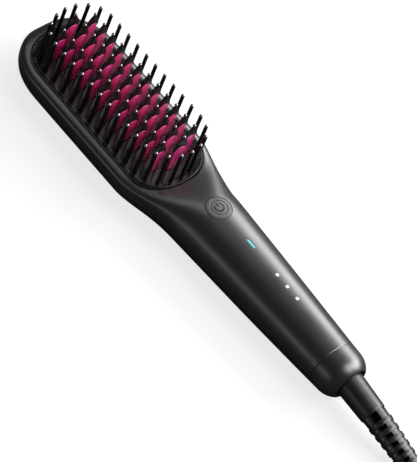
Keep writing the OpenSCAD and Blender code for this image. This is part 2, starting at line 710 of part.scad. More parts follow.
module light_window() {
    color([0.3, 0.85, 0.9]) in_place() translate([light_x, 0, window_z + 0.1]) {
        capsule(light_l, light_w, top_z(light_x) + 0.1 - window_z - 0.1);
        translate([-light_l / 2 - 1, -2, top_z(light_x) - wall - window_z - 2.3])
            cube([light_l + 2, 4, 1.8]);
    }
}

module light_dots() {
    bar_z = top_z(dots_x + dot_pitch) - wall - 2.2;
    color([0.97, 0.97, 0.97]) in_place() {
        for (i = [-1:1]) translate([dots_x + i * dot_pitch, 0, window_z + 0.1])
            cylinder(h = top_z(dots_x + i * dot_pitch) - window_z, d = dot_d);
        translate([dots_x - dot_pitch - 2.5, -2, bar_z]) cube([2 * dot_pitch + 5, 4, 1.7]);
    }
}

module case_screws() {
    color([0.6, 0.6, 0.62]) in_place() for (p = case_screw_places)
        translate([p[0], p[1], case_head_z]) screw(head_r + 0.5, head_h + 0.1, case_screw_r, case_screw_l);
}

module contact_block() {
    color([0.85, 0.82, 0.72]) in_place() translate([cap_x - 19, -6, block_z])
        cube([8, 12, blade_z - block_z]);
}

module contact_blades() {
    color([0.8, 0.65, 0.3]) in_place() for (i = [0, 1])
        translate([cap_x - 18, i == 0 ? -4.5 : 1.5, blade_z])
            cube([ring_places[i] + slip_w - cap_x + 18, 3, blade_t]);
}

module end_cap() {
    color([0.14, 0.14, 0.145]) in_place() difference() {
        skin(concat(
            [for (x = [bearing_x, cap_x - 7]) body_ring(x, wall + 1.6)],
            [for (x = [cap_x - 7, cap_x + gap]) body_ring(x, wall + 0.25)],
            [for (x = cap_rings) body_ring(x, 0)]));
        axle(cap_x - 2, body_len + 5, neck_r + 0.08);
        axle(mouth_x, body_len + 5, mouth_r);
    }
}

// Round solid along X between two distances from the head tip
module axle(x0, x1, r) {
    translate([x0, 0, axis_z]) rotate([0, 90, 0]) cylinder(h = x1 - x0, r = r);
}

module swivel_shaft() {
    color([0.2, 0.2, 0.2]) in_place() {
        axle(ring_places[0] - 1.5, bearing_x - 2, hub_r);
        axle(bearing_x - 3.1, bearing_x - run_gap, 8);
        axle(bearing_x - 1, relief_x, neck_r);
        axle(relief_x - 1, relief_x + stub_l, hub_r);
    }
}

module slip_rings() {
    color([0.8, 0.65, 0.3]) in_place() for (x = ring_places) difference() {
        axle(x, x + slip_w, slip_r);
        axle(x - 1, x + slip_w + 1, hub_r + 0.02);
    }
}

module strain_relief() {
    color([0.12, 0.12, 0.125]) in_place() difference() {
        union() {
            translate([pivot_x, 0, axis_z]) rotate([0, 90 + droop, 0]) rotate_extrude() polygon([
                [0, -6], [relief_d / 2, -6], [relief_r(sleeve_l - 0.6), sleeve_l - 0.6],
                [relief_r(sleeve_l) - 0.6, sleeve_l], [0, sleeve_l]]);
            skin([for (i = [0:web_rings]) let (s = mix(sleeve_l - 1, relief_l - rib_t + 1, i / web_rings))
                relief_cross(relief_at(s), relief_angle(s),
                    i == 0 || i == web_rings ? relief_core_r : relief_r(s) - 0.35)]);
            for (i = [1:rib_count]) relief_rib(sleeve_l + i * rib_pitch, rib_t);
            relief_rib(relief_l - rib_t - 0.5, rib_t + 0.5);
        }
        translate([pivot_x - 20, -20, -10]) cube([20 - 2, 40, 60]);
        axle(relief_x - 1, relief_x + stub_l + gap, hub_r + fit);
    }
}

// Cross section of the strain relief between its rings: a round core with four webs
function relief_cross(c, t, r) =
    let (u = [0, 1, 0], v = [sin(t), 0, cos(t)])
    [for (q = [0:3], w = [-1, 0, 1, 2])
        let (a = 90 * q + (w < 2 ? web_half * w : 45), rr = w < 2 ? r : relief_core_r)
        c + rr * (cos(a) * u + sin(a) * v)];

module relief_rib(s, t) {
    edge = 0.5;
    translate(relief_at(s)) rotate([0, 90 + relief_angle(s), 0]) rotate_extrude() polygon([
        [0, 0], [relief_r(s) - edge, 0], [relief_r(s), edge], [relief_r(s + t), t - edge],
        [relief_r(s + t) - edge, t], [0, t]]);
}

module cord_lead() {
    color([0.11, 0.11, 0.11]) in_place() tube(lead_points, cord_d / 2, 10);
}

module cord_coil() {
    color([0.11, 0.11, 0.11]) in_place() tube(coil_rings, cord_d / 2, 6);
}

module cord_tail() {
    color([0.11, 0.11, 0.11]) in_place() tube(tail_points, cord_d / 2, 10);
}

// Plug: a flat waisted body that tapers to the cord
module plug_body() {
    w = plug_body_w / 2;
    color([0.11, 0.11, 0.11]) in_place() translate(plug_place) rotate([0, 0, 180]) {
        rotate([0, 90, 0]) cylinder(h = 16, d1 = 8.4, d2 = 11);
        intersection() {
            translate([0, 0, -plug_body_h / 2]) linear_extrude(plug_body_h) polygon([
                [14, -5.5], [20, -w + 3.5], [24, -w + 1], [28, -w + 2], [14 + plug_body_l, -w],
                [14 + plug_body_l, w], [28, w - 2], [24, w - 1], [20, w - 3.5], [14, 5.5]]);
            rotate([90, 0, 0]) linear_extrude(60, center = true) polygon([
                [13, -4.6], [22, -plug_body_h / 2], [13 + plug_body_l, -plug_body_h / 2],
                [14 + plug_body_l, -plug_body_h / 2 + 1], [14 + plug_body_l, plug_body_h / 2 - 1],
                [13 + plug_body_l, plug_body_h / 2], [22, plug_body_h / 2], [13, 4.6]]);
        }
    }
}

module plug_pins() {
    color([0.8, 0.8, 0.8]) in_place() translate(plug_place) rotate([0, 0, 180])
        for (s = [-1, 1]) translate([14 + plug_body_l, s * plug_pin_gap / 2, 0]) rotate([0, 90, 0]) {
            cylinder(h = plug_pin_l - 1, d = plug_pin_d);
            translate([0, 0, plug_pin_l - 1]) cylinder(h = 1, d1 = plug_pin_d, d2 = plug_pin_d - 1.6);
        }
}

front_shell();
back_shell();
bristle_bed();
bristle_pins();
bed_trim();
heating_plate();
heating_fins();
fin_caps();
heater_strips();
insulation_pad();
heater_clamp();
clamp_screws();
plate_screws();
thermal_fuse();
thermistor();
heater_leads();
circuit_board();
board_screws();
tact_switch();
switch_plunger();
status_leds();
capacitor();
triac();
supply_leads();
button_bezel();
power_button();
light_window();
light_dots();
case_screws();
contact_block();
contact_blades();
end_cap();
swivel_shaft();
slip_rings();
strain_relief();
cord_lead();
cord_coil();
cord_tail();
plug_body();
plug_pins();
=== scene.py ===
"""The looks of a heated hair straightening brush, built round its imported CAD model.

Shapes are worked out in millimetres from the head tip along the brush, and cast into
the part frame in metres, whose origin is under the middle of the brush.
"""

from __future__ import annotations

import logging
import math
from dataclasses import dataclass, field, replace
from enum import Enum
from typing import Callable, Sequence

import bmesh
import bpy
from mathutils import Matrix, Vector

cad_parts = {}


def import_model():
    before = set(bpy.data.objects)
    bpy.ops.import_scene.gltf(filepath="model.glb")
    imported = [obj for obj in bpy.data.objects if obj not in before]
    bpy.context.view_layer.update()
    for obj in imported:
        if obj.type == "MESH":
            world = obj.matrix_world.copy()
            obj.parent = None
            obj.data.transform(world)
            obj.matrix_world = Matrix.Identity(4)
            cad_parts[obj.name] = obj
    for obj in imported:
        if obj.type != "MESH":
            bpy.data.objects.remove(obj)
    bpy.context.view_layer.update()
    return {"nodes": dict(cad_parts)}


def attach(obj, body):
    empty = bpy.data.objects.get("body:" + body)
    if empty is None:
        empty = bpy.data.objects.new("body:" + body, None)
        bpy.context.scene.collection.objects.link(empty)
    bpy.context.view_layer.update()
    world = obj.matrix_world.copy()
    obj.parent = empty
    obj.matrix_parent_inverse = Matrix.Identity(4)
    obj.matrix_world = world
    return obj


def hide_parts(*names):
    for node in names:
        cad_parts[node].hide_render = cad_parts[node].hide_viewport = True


LOG = logging.getLogger("brush")
Point = tuple[float, float, float]
Flat = tuple[float, float]
Placing = Callable[[float, float, float], Point]
Socket = bpy.types.NodeSocket
MM = 0.001
HALF_LENGTH = 141.0


def mix(a: float, b: float, t: float) -> float:
    """Return the value a share t of the way from a to b."""
    return a + (b - a) * t


def clamp01(t: float) -> float:
    """Return t kept between 0 and 1."""
    return min(max(t, 0.0), 1.0)


def ease(t: float) -> float:
    """Return a smooth step from 0 to 1."""
    t = clamp01(t)
    return t * t * (3 - 2 * t)


def round_end(d: float, length: float, n: float) -> float:
    """Return the share of full size at a distance d from an end rounded over a length."""
    return 1.0 if d >= length else (1 - ((length - d) / length) ** n) ** (1 / n)


def signed_power(value: float, power: float) -> float:
    """Return value raised to a power with its sign kept."""
    return math.copysign(abs(value) ** power, value)


def spaced(points: Sequence[Point], count: int) -> list[Point]:
    """Return count + 1 points at even steps along a line of points.

    Args:
        points: The line's points.
        count: Number of steps.

    Returns:
        The new points, the two ends among them.
    """
    lengths = [0.0]
    for a, b in zip(points, points[1:]):
        lengths.append(lengths[-1] + math.dist(a, b))
    out, i = [], 0
    for k in range(count + 1):
        want = lengths[-1] * k / count
        while i < len(points) - 2 and lengths[i + 1] < want:
            i += 1
        span = lengths[i + 1] - lengths[i]
        t = clamp01((want - lengths[i]) / span) if span > 0 else 0.0
        out.append(tuple(mix(p, q, t) for p, q in zip(points[i], points[i + 1])))
    return out


def upright(x: float, y: float, z: float = 0.0) -> Placing:
    """Return the placing of a round shape that stands on a point."""
    return lambda u, v, h: (x + u, y + v, z + h)


def rod(r: float, low: float, high: float) -> list[Flat]:
    """Return the profile of a round rod of one radius between two levels."""
    return [(0, low), (r, low), (r, high), (0, high)]


def band_end(count: int, outer: int) -> list[list[int]]:
    """Return the faces between the outer and the inner arc of one ring.

    Args:
        count: Number of points in the ring.
        outer: Number of them on the outer arc.

    Returns:
        The faces, as places in the ring.
    """
    inner = [count - 1 - round(i * (count - outer - 1) / (outer - 1)) for i in range(outer)]
    faces = []
    for i in range(outer - 1):
        last = [] if inner[i] == inner[i + 1] else [inner[i]]
        faces.append([i, i + 1, inner[i + 1]] + last)
    return faces


def pouch(columns: int, rows: int) -> list[list[int]]:
    """Return the faces of two sheets of points that are joined along all their edges.

    Args:
        columns: Number of steps across a sheet.
        rows: Number of steps up each column.

    Returns:
        The faces, as places in the points of the first sheet and then the second.
    """
    n, other = rows + 1, (columns + 1) * (rows + 1)
    faces = []
    for start in (0, other):
        for j in range(columns):
            faces += [[a, a + 1, a + n + 1, a + n] for a in range(start + j * n, start + j * n + rows)]
    for j in range(columns):
        faces += [[a, a + n, a + n + other, a + other] for a in (j * n, j * n + rows)]
    for j in (0, columns):
        faces += [[a, a + 1, a + 1 + other, a + other] for a in range(j * n, j * n + rows)]
    return faces


class End(Enum):
    """How the two ends of a skin over rings are closed."""

    FLAT = "a face at each end"
    BAND = "a band of faces at each end"
    NOSE = "a face at the first end and a band at the last"
    OPEN = "no faces"
    JOINED = "the last ring meets the first"


class Mould:
    """Collects points and faces in millimetres and casts them as one mesh object."""

    def __init__(self) -> None:
        """Start with nothing in the mould."""
        self.points: list[Point] = []
        self.faces: list[list[int]] = []
        self.finish_of: list[int] = []

    def add(self, points: Sequence[Point], faces: Sequence[Sequence[int]], finish: int = 0) -> None:
        """Put one loose shape into the mould.

        Args:
            points: The shape's points.
            faces: The shape's faces, as places in its own list of points.
            finish: Place of its finish among the object's finishes.
        """
        base = len(self.points)
        self.points.extend(points)
        self.faces.extend([base + i for i in f] for f in faces)
        self.finish_of.extend(finish for _ in faces)

    def skin(self, rings: Sequence[Sequence[Point]], end: End = End.FLAT, outer: int = 0,
             finish: int = 0) -> None:
        """Stretch a skin over rings that all have the same number of points.

        Args:
            rings: The rings, each a closed line of points.
            end: How the first and the last ring are closed.
            outer: Number of points on a ring's outer arc, where an end has a band.
            finish: Place of its finish among the object's finishes.
        """
        n, m = len(rings[0]), len(rings)
        faces: list[list[int]] = []
        for i in range(m if end is End.JOINED else m - 1):
            for j in range(n):
                a, b = i * n + j, i * n + (j + 1) % n
                c, d = ((i + 1) % m) * n + (j + 1) % n, ((i + 1) % m) * n + j
                faces.append([a, b, c, d])
        flat = [list(range(n))]
        band = band_end(n, outer) if end in (End.BAND, End.NOSE) else []
        if end in (End.FLAT, End.BAND, End.NOSE):
            faces += [loop[::-1] for loop in (band if end is End.BAND else flat)]
            faces += [[(m - 1) * n + k for k in loop] for loop in (flat if end is End.FLAT else band)]
        self.add([p for r in rings for p in r], faces, finish)

    def lathe(self, profile: Sequence[Flat], place: Placing, steps: int = 32, finish: int = 0,
              end: End = End.FLAT) -> None:
        """Turn a profile round an axis.

        Args:
            profile: Radius and height of each point, the first and last on the axis or not.
            place: Gives the point for two offsets across the axis and the height along it.
            steps: Number of points round the axis.
            finish: Place of its finish among the object's finishes.
            end: How its two ends are closed.
        """
        angles = [2 * math.pi * k / steps for k in range(steps)]
        rings = [[place(r * math.cos(a), r * math.sin(a), h) for a in angles] for r, h in profile]
        self.skin(rings, end, finish=finish)

    def prism(self, outline: Sequence[Flat], z0: float, z1: float, finish: int = 0) -> None:
        """Stand a flat outline up between two levels."""
        self.skin([[(x, y, z) for x, y in outline] for z in (z0, z1)], finish=finish)

    def cast(self, name: str, finishes: Sequence[Finish], sharp: float = 32.0) -> bpy.types.Object:
        """Make the mesh object, smooth but for edges sharper than an angle.

        Args:
            name: Name of the object.
            finishes: Its finishes, in the order in which faces name them.
            sharp: Angle in degrees above which an edge stays sharp.

        Returns:
            The object, linked to the scene.
        """
        mesh = bpy.data.meshes.new(name)
        bm = bmesh.new()
        verts = [bm.verts.new(((x - HALF_LENGTH) * MM, y * MM, z * MM)) for x, y, z in self.points]
        for loop, finish in zip(self.faces, self.finish_of):
            if len(set(loop)) > 2:
                face = bm.faces.new([verts[i] for i in loop])
                face.material_index = finish
        bmesh.ops.remove_doubles(bm, verts=bm.verts, dist=2e-7)
        bmesh.ops.dissolve_degenerate(bm, edges=bm.edges, dist=1e-7)
        bmesh.ops.recalc_face_normals(bm, faces=bm.faces)
        soften(bm, sharp)
        bm.to_mesh(mesh)
        bm.free()
        for finish in finishes:
            mesh.materials.append(finish.make())
        obj = bpy.data.objects.new(name, mesh)
        bpy.context.scene.collection.objects.link(obj)
        return obj


def soften(bm: bmesh.types.BMesh, sharp: float) -> None:
    """Shade faces smooth and keep the edges above an angle sharp.

    Args:
        bm: The mesh that is being made.
        sharp: The angle in degrees.
    """
    limit = math.radians(sharp)
    for face in bm.faces:
        face.smooth = True
    for edge in bm.edges:
        edge.smooth = edge.is_manifold and edge.calc_face_angle(0.0) < limit


def cut(piece: bpy.types.Object, mould: Mould, sharp: float = 32.0) -> None:
    """Cut the shapes in a mould out of a piece.

    Args:
        piece: The object that is cut.
        mould: Closed shapes that don't touch each other.
        sharp: Angle in degrees above which an edge stays sharp.
    """
    tool = mould.cast("cutter", [])
    change = piece.modifiers.new("cut", "BOOLEAN")
    change.operation = "DIFFERENCE"
    change.solver = "EXACT"
    change.object = tool
    made = bpy.data.meshes.new_from_object(piece.evaluated_get(bpy.context.evaluated_depsgraph_get()))
    piece.modifiers.clear()
    old, piece.data = piece.data, made
    made.name = piece.name
    bpy.data.meshes.remove(old)
    bpy.data.objects.remove(tool)
    bm = bmesh.new()
    bm.from_mesh(made)
    soften(bm, sharp)
    bm.to_mesh(made)
    bm.free()


def settle(piece: bpy.types.Object, body: str, slot: str, *nodes: str) -> bpy.types.Object:
    """Let a piece ride on a body and stand for CAD nodes.

    Args:
        piece: The finished piece, in place.
        body: CAD body that it moves with.
        slot: The record's material slot; not used.
        nodes: CAD nodes that it stands for.

    Returns:
        The same piece.
    """
    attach(piece, body)
    if nodes:
        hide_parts(*nodes)
    LOG.info("%s rides on %s and stands for %s", piece.name, body, ", ".join(nodes) or "no node")
    return piece


# Finishes


@dataclass(frozen=True)
class Wiring:
    """The nodes and links of a material, and the place on the surface that they start from."""

    nodes: bpy.types.Nodes
    links: bpy.types.NodeLinks
    place: Socket | None = None

    def feed(self, node: bpy.types.Node, inputs: dict[str | int, Socket | float | tuple]) -> None:
        """Set or link the inputs of a node.

        Args:
            node: The node.
            inputs: A value or another node's socket for each input, by its name or number.
        """
        for key, value in inputs.items():
            if isinstance(value, Socket):
                self.links.new(value, node.inputs[key])
            else:
                node.inputs[key].default_value = value

    def add(self, kind: str, inputs: dict[str | int, Socket | float | tuple] | None = None,
            operation: str = "") -> bpy.types.Node:
        """Add a node.

        Args:
            kind: Its type, without the word ShaderNode.
            inputs: A value or another node's socket for each input that isn't left alone.
            operation: What it works out, where it has a choice.

        Returns:
            The new node.
        """
        node = self.nodes.new(f"ShaderNode{kind}")
        if operation:
            node.operation = operation
        self.feed(node, inputs or {})
        return node

    def noise(self, place: Socket, scale: float, detail: float) -> Socket:
        """Return the value of a noise over the surface."""
        return self.add("TexNoise", {"Vector": place, "Scale": scale, "Detail": detail}).outputs["Fac"]

    def ramp(self, value: Socket, low: float, high: float, start: float = 0.3, stop: float = 0.7) -> Socket:
        """Return a value that runs from low to high while another runs from start to stop."""
        ends = {"Value": value, "From Min": start, "From Max": stop, "To Min": low, "To Max": high}
        return self.add("MapRange", ends).outputs["Result"]

    def maths(self, operation: str, first: Socket, second: Socket | float) -> Socket:
        """Return a value put together with another value or a number."""
        return self.add("Math", {0: first, 1: second}, operation).outputs[0]

    def scaled(self, colour: Point, share: Socket) -> Socket:
        """Return a colour made stronger or weaker by a share."""
        return self.add("VectorMath", {0: colour, "Scale": share}, "SCALE").outputs["Vector"]

    def along(self, axis: str) -> Socket:
        """Return the distance of the place along one axis."""
        return self.add("SeparateXYZ", {0: self.place}).outputs[axis]


@dataclass(frozen=True)
class Finish:
    """A moulded, painted or metal surface with fine grain and slight unevenness."""

    name: str
    colour: Point
    roughness: float = 0.4
    metallic: float = 0.0
    specular: float = 0.5
    coat: float = 0.0
    coat_roughness: float = 0.1
    coat_ior: float = 1.5
    uneven: float = 0.08
    rough_spread: float = 0.05
    patch: float = 12.0
    grain: float = 0.35
    grain_depth: float = 0.012
    stretch: Point = (1.0, 1.0, 1.0)

    def make(self) -> bpy.types.Material:
        """Build the material's nodes.

        Returns:
            The material, made once for each finish.
        """
        name = f"finish_{self.name}"
        found = bpy.data.materials.get(name)
        if found:
            return found
        material = bpy.data.materials.new(name)
        material.use_nodes = True
        nodes, links = material.node_tree.nodes, material.node_tree.links
        shader = nodes["Principled BSDF"]
        wiring = Wiring(nodes, links, nodes.new("ShaderNodeTexCoord").outputs["Object"])
        patches = wiring.noise(wiring.place, 1000 / self.patch, 3.0)
        tone = wiring.ramp(patches, 1 - self.uneven, 1 + self.uneven)
        rough = wiring.ramp(patches, self.roughness + self.rough_spread, self.roughness - self.rough_spread)
        bump = wiring.add("Bump", {"Distance": self.grain_depth * MM, "Strength": 1.0,
                                   "Height": self.relief(wiring)})
        shader.inputs["Base Color"].default_value = (*self.colour, 1)
        wiring.feed(shader, {
            "Base Color": self.painted(wiring, tone), "Roughness": rough, "Normal": bump.outputs["Normal"],
            "Metallic": self.metallic, "Specular IOR Level": self.specular, "Coat Weight": self.coat,
            "Coat Roughness": self.coat_roughness, "Coat IOR": self.coat_ior})
        self.extra(wiring, shader)
        return material

    def painted(self, wiring: Wiring, tone: Socket) -> Socket:
        """Return the colour, made lighter and darker by a tone."""
        return wiring.scaled(self.colour, tone)

    def relief(self, wiring: Wiring) -> Socket:
        """Return the height of the fine grain."""
        spread = wiring.add("Mapping", {"Scale": self.stretch, "Vector": wiring.place})
        return wiring.noise(spread.outputs["Vector"], 1000 / self.grain, 2.0)

    def extra(self, wiring: Wiring, shader: bpy.types.Node) -> None:
        """Add what only some finishes have."""


@dataclass(frozen=True)
class LitShellFinish(Finish):
    """The shell's coat, with a painted glow round the level lights, where their light would spill onto it."""

    lights: tuple[Point, ...] = ()
    light: Point = (0.95, 0.97, 1.0)
    core: float = 0.9
    reach: float = 2.6
    glow: float = 0.12

    def extra(self, wiring: Wiring, shader: bpy.types.Node) -> None:
        """Add a soft painted glow on the shell round each light.

        Args:
            wiring: The material's nodes and links.
            shader: The material's shader.
        """
        total = None
        for spot in self.lights:
            away = wiring.add("VectorMath", {0: wiring.place, 1: spot}, "DISTANCE").outputs["Value"]
            near = wiring.ramp(away, self.glow, 0.0, self.core * MM, self.reach * MM)
            near = wiring.maths("POWER", near, 2.0)
            total = near if total is None else wiring.maths("ADD", total, near)
        if total is not None:
            wiring.feed(shader, {"Emission Color": (*self.light, 1.0), "Emission Strength": total})


@dataclass(frozen=True)
class LampFinish(Finish):
    """A lit light guide; where it has a dim side, its glow fades towards -Y as painted shade from its recess.
    """

    glow: float = 1.0
    shaded_share: float = 1.0
    body: float = 0.08
    edge: Flat = (-0.5, 0.1)

    def painted(self, wiring: Wiring, tone: Socket) -> Socket:
        """Return the dark colour of the guide where its light doesn't reach."""
        return super().painted(wiring, wiring.maths("MULTIPLY", tone, self.body))

    def extra(self, wiring: Wiring, shader: bpy.types.Node) -> None:
        """Add the light, with its dimmer side painted as shade from its recess.

        Args:
            wiring: The material's nodes and links.
            shader: The material's shader.
        """
        start, stop = (place * MM for place in self.edge)
        strength = wiring.ramp(wiring.along("Y"), self.shaded_share * self.glow, self.glow, start, stop)
        wiring.feed(shader, {"Emission Color": (*self.colour, 1.0), "Emission Strength": strength})


@dataclass(frozen=True)
class BladeFinish(Finish):
    """The blades' coat, darkened towards their feet by painted shade and paled near the arch by a painted
    highlight.
    """

    foot: float = 0.38
    lit_crest: float = 1.1
    levels: Flat = (26.0, 39.5)
    painted_highlight: Point = (0.06, 0.07, 0.12)
    painted_highlight_levels: Flat = (35.0, 44.0)

    def painted(self, wiring: Wiring, tone: Socket) -> Socket:
        """Return the colour, with painted shade darkening it near the bed and a painted highlight paling it
        near the arch.

        Args:
            wiring: The material's nodes and links.
            tone: How much lighter or darker each patch is.

        Returns:
            The colour.
        """
        height = wiring.along("Z")
        low, high = (level * MM for level in self.levels)
        # Painted shade: the colour darkens from the arch down towards the bed.
        share = wiring.ramp(height, self.foot, self.lit_crest, low, high)
        base = super().painted(wiring, wiring.maths("MULTIPLY", tone, share))
        # Painted highlight: a pale colour is added near the arch.
        low, high = (level * MM for level in self.painted_highlight_levels)
        pale = wiring.scaled(self.painted_highlight, wiring.ramp(height, 0.0, 1.0, low, high))
        return wiring.add("VectorMath", {0: base, 1: pale}, "ADD").outputs["Vector"]


@dataclass(frozen=True)
class BoardFinish(Finish):
    """A circuit board with copper tracks under its solder mask."""

    track: tuple[float, float, float, float] = (0.12, 0.42, 0.2, 1.0)
    tracks_per_metre: float = 330.0
    track_share: float = 0.06

    def painted(self, wiring: Wiring, tone: Socket) -> Socket:
        """Return green with lighter tracks.

        Args:
            wiring: The material's nodes and links.
            tone: How much lighter or darker each patch is.

        Returns:
            The colour.
        """
        bricks = wiring.add("TexBrick", {
            "Vector": wiring.place, "Scale": self.tracks_per_metre, "Mortar Size": self.track_share,
            "Color1": (0.0, 0.0, 0.0, 1.0), "Color2": (0.1, 0.1, 0.1, 1.0), "Mortar": (1.0, 1.0, 1.0, 1.0)})
        blend = wiring.add("Mix")
        blend.data_type = "RGBA"
        # With colours, a Mix node takes them at inputs 6 and 7 and gives one at output 2.
        wiring.feed(blend, {"Factor": bricks.outputs["Fac"], 6: super().painted(wiring, tone), 7: self.track})
        return blend.outputs[2]


SOFT_TOUCH = LitShellFinish(
    "soft_touch_charcoal", (0.0055, 0.0055, 0.006), 0.36, specular=1.0, coat=0.6, coat_roughness=0.34,
    coat_ior=1.6, uneven=0.12, rough_spread=0.03, patch=22, grain=0.28, grain_depth=0.006)
GLOSS = Finish(
    "gloss_black", (0.011, 0.0105, 0.011), 0.13, specular=0.42, uneven=0.1, rough_spread=0.02, patch=8,
    grain=1.6, grain_depth=0.0012)
PIN_BLACK = Finish(
    "pin_black", (0.0085, 0.009, 0.0088), 0.32, specular=0.25, uneven=0.1, patch=2.5, grain=0.6,
    grain_depth=0.003)
# This magenta carries painted shade near the bed and a painted highlight near the arch.
FIN_COAT = BladeFinish(
    "fin_magenta", (0.84, 0.006, 0.22), 0.4, specular=0.3, coat=1.0, coat_roughness=0.12, uneven=0.08,
    rough_spread=0.04, patch=3, grain=0.16, grain_depth=0.006)
CAP_BLACK = Finish(
    "cap_black", (0.006, 0.009, 0.0078), 0.3, specular=0.6, uneven=0.14, patch=2.5, grain=0.5,
    grain_depth=0.02)
KNOB_BLACK = Finish(
    "knob_black", (0.004, 0.004, 0.004), 0.2, specular=1.0, coat=1.0, coat_roughness=0.14, coat_ior=3.0,
    uneven=0.1, patch=2, grain=0.5, grain_depth=0.003)
# The button and its ring are black like the shell; their grey is a painted highlight for the light their flat
# tops catch.
HIGHLIT_BUTTON = Finish("button_highlight_grey", (0.1, 0.1, 0.102), 0.42, uneven=0.08, patch=5, grain=0.22, grain_depth=0.008)
SIGN = Finish("button_sign", (0.004, 0.004, 0.004), 0.6, specular=0.2, uneven=0.05, patch=1, grain=0.2)
# The status light's glow is painted dimmer on its -Y side, as shade from its recess.
CYAN = LampFinish(
    "light_cyan", (0.16, 0.68, 0.74), 0.2, uneven=0.04, patch=2, grain=0.5, glow=0.9, shaded_share=0.14,
    edge=(-0.75, -0.4))
WHITE = LampFinish("light_white", (0.96, 0.97, 1.0), 0.25, uneven=0.02, patch=2, grain=0.5)
RELIEF = Finish(
    "relief_rubber", (0.004, 0.004, 0.0045), 0.4, specular=0.9, uneven=0.12, patch=8, grain=0.3,
    grain_depth=0.01)
# The slots' floor is the relief's own rubber, rougher and painted darker as shade in the slots.
SLOT_SHADE = Finish(
    "relief_slot_shade", (0.002, 0.002, 0.002), 0.75, specular=0.1, uneven=0.1, patch=6, grain=0.4,
    grain_depth=0.01)
CORD = Finish("cord_rubber", (0.013, 0.013, 0.014), 0.46, uneven=0.12, patch=14, grain_depth=0.014)
NICKEL = Finish(
    "pin_nickel", (0.66, 0.64, 0.6), 0.16, metallic=1.0, uneven=0.05, patch=4, grain=0.4,
    grain_depth=0.004)
CERAMIC = Finish(
    "ceramic_white", (0.69, 0.66, 0.58), 0.55, uneven=0.06, patch=4, grain=0.25, grain_depth=0.015)
MICA = Finish(
    "mica_tan", (0.6, 0.48, 0.22), 0.5, uneven=0.16, patch=1.6, grain=0.6, grain_depth=0.02,
    stretch=(0.3, 0.3, 2.0))
ALUMINIUM = Finish(
    "clamp_aluminium", (0.72, 0.72, 0.74), 0.32, metallic=1.0, uneven=0.05, patch=9, grain=0.5,
    stretch=(0.08, 1.0, 1.0), grain_depth=0.01)
STEEL = Finish("screw_steel", (0.6, 0.6, 0.62), 0.26, metallic=1.0, patch=1.5, grain=0.3)
BRASS = Finish("contact_brass", (0.62, 0.42, 0.13), 0.25, metallic=1.0, patch=2, grain=0.4)
SENSOR = Finish("sensor_blue", (0.05, 0.12, 0.33), 0.2, coat=0.5, patch=1.5, grain=0.4)
LEAD_RED = Finish("lead_red", (0.5, 0.02, 0.02), 0.45, uneven=0.1, patch=4, grain=0.3, grain_depth=0.01)
BOARD = BoardFinish("board_green", (0.02, 0.12, 0.04), 0.3, coat=0.4, patch=6, grain=0.5)
PART_BLACK = Finish(
    "component_black", (0.014, 0.014, 0.014), 0.5, uneven=0.1, patch=3, grain=0.25, grain_depth=0.02)
PLUNGER = Finish("plunger_grey", (0.6, 0.6, 0.6), 0.4, uneven=0.06, patch=2, grain=0.3)
LED_BODY = Finish("lamp_cream", (0.85, 0.85, 0.6), 0.15, coat=0.4, uneven=0.06, patch=1, grain=0.4)
SLEEVE_BLUE = Finish("capacitor_blue", (0.02, 0.035, 0.14), 0.25, coat=0.3, patch=4, grain=0.6)


# Shape of the brush's body


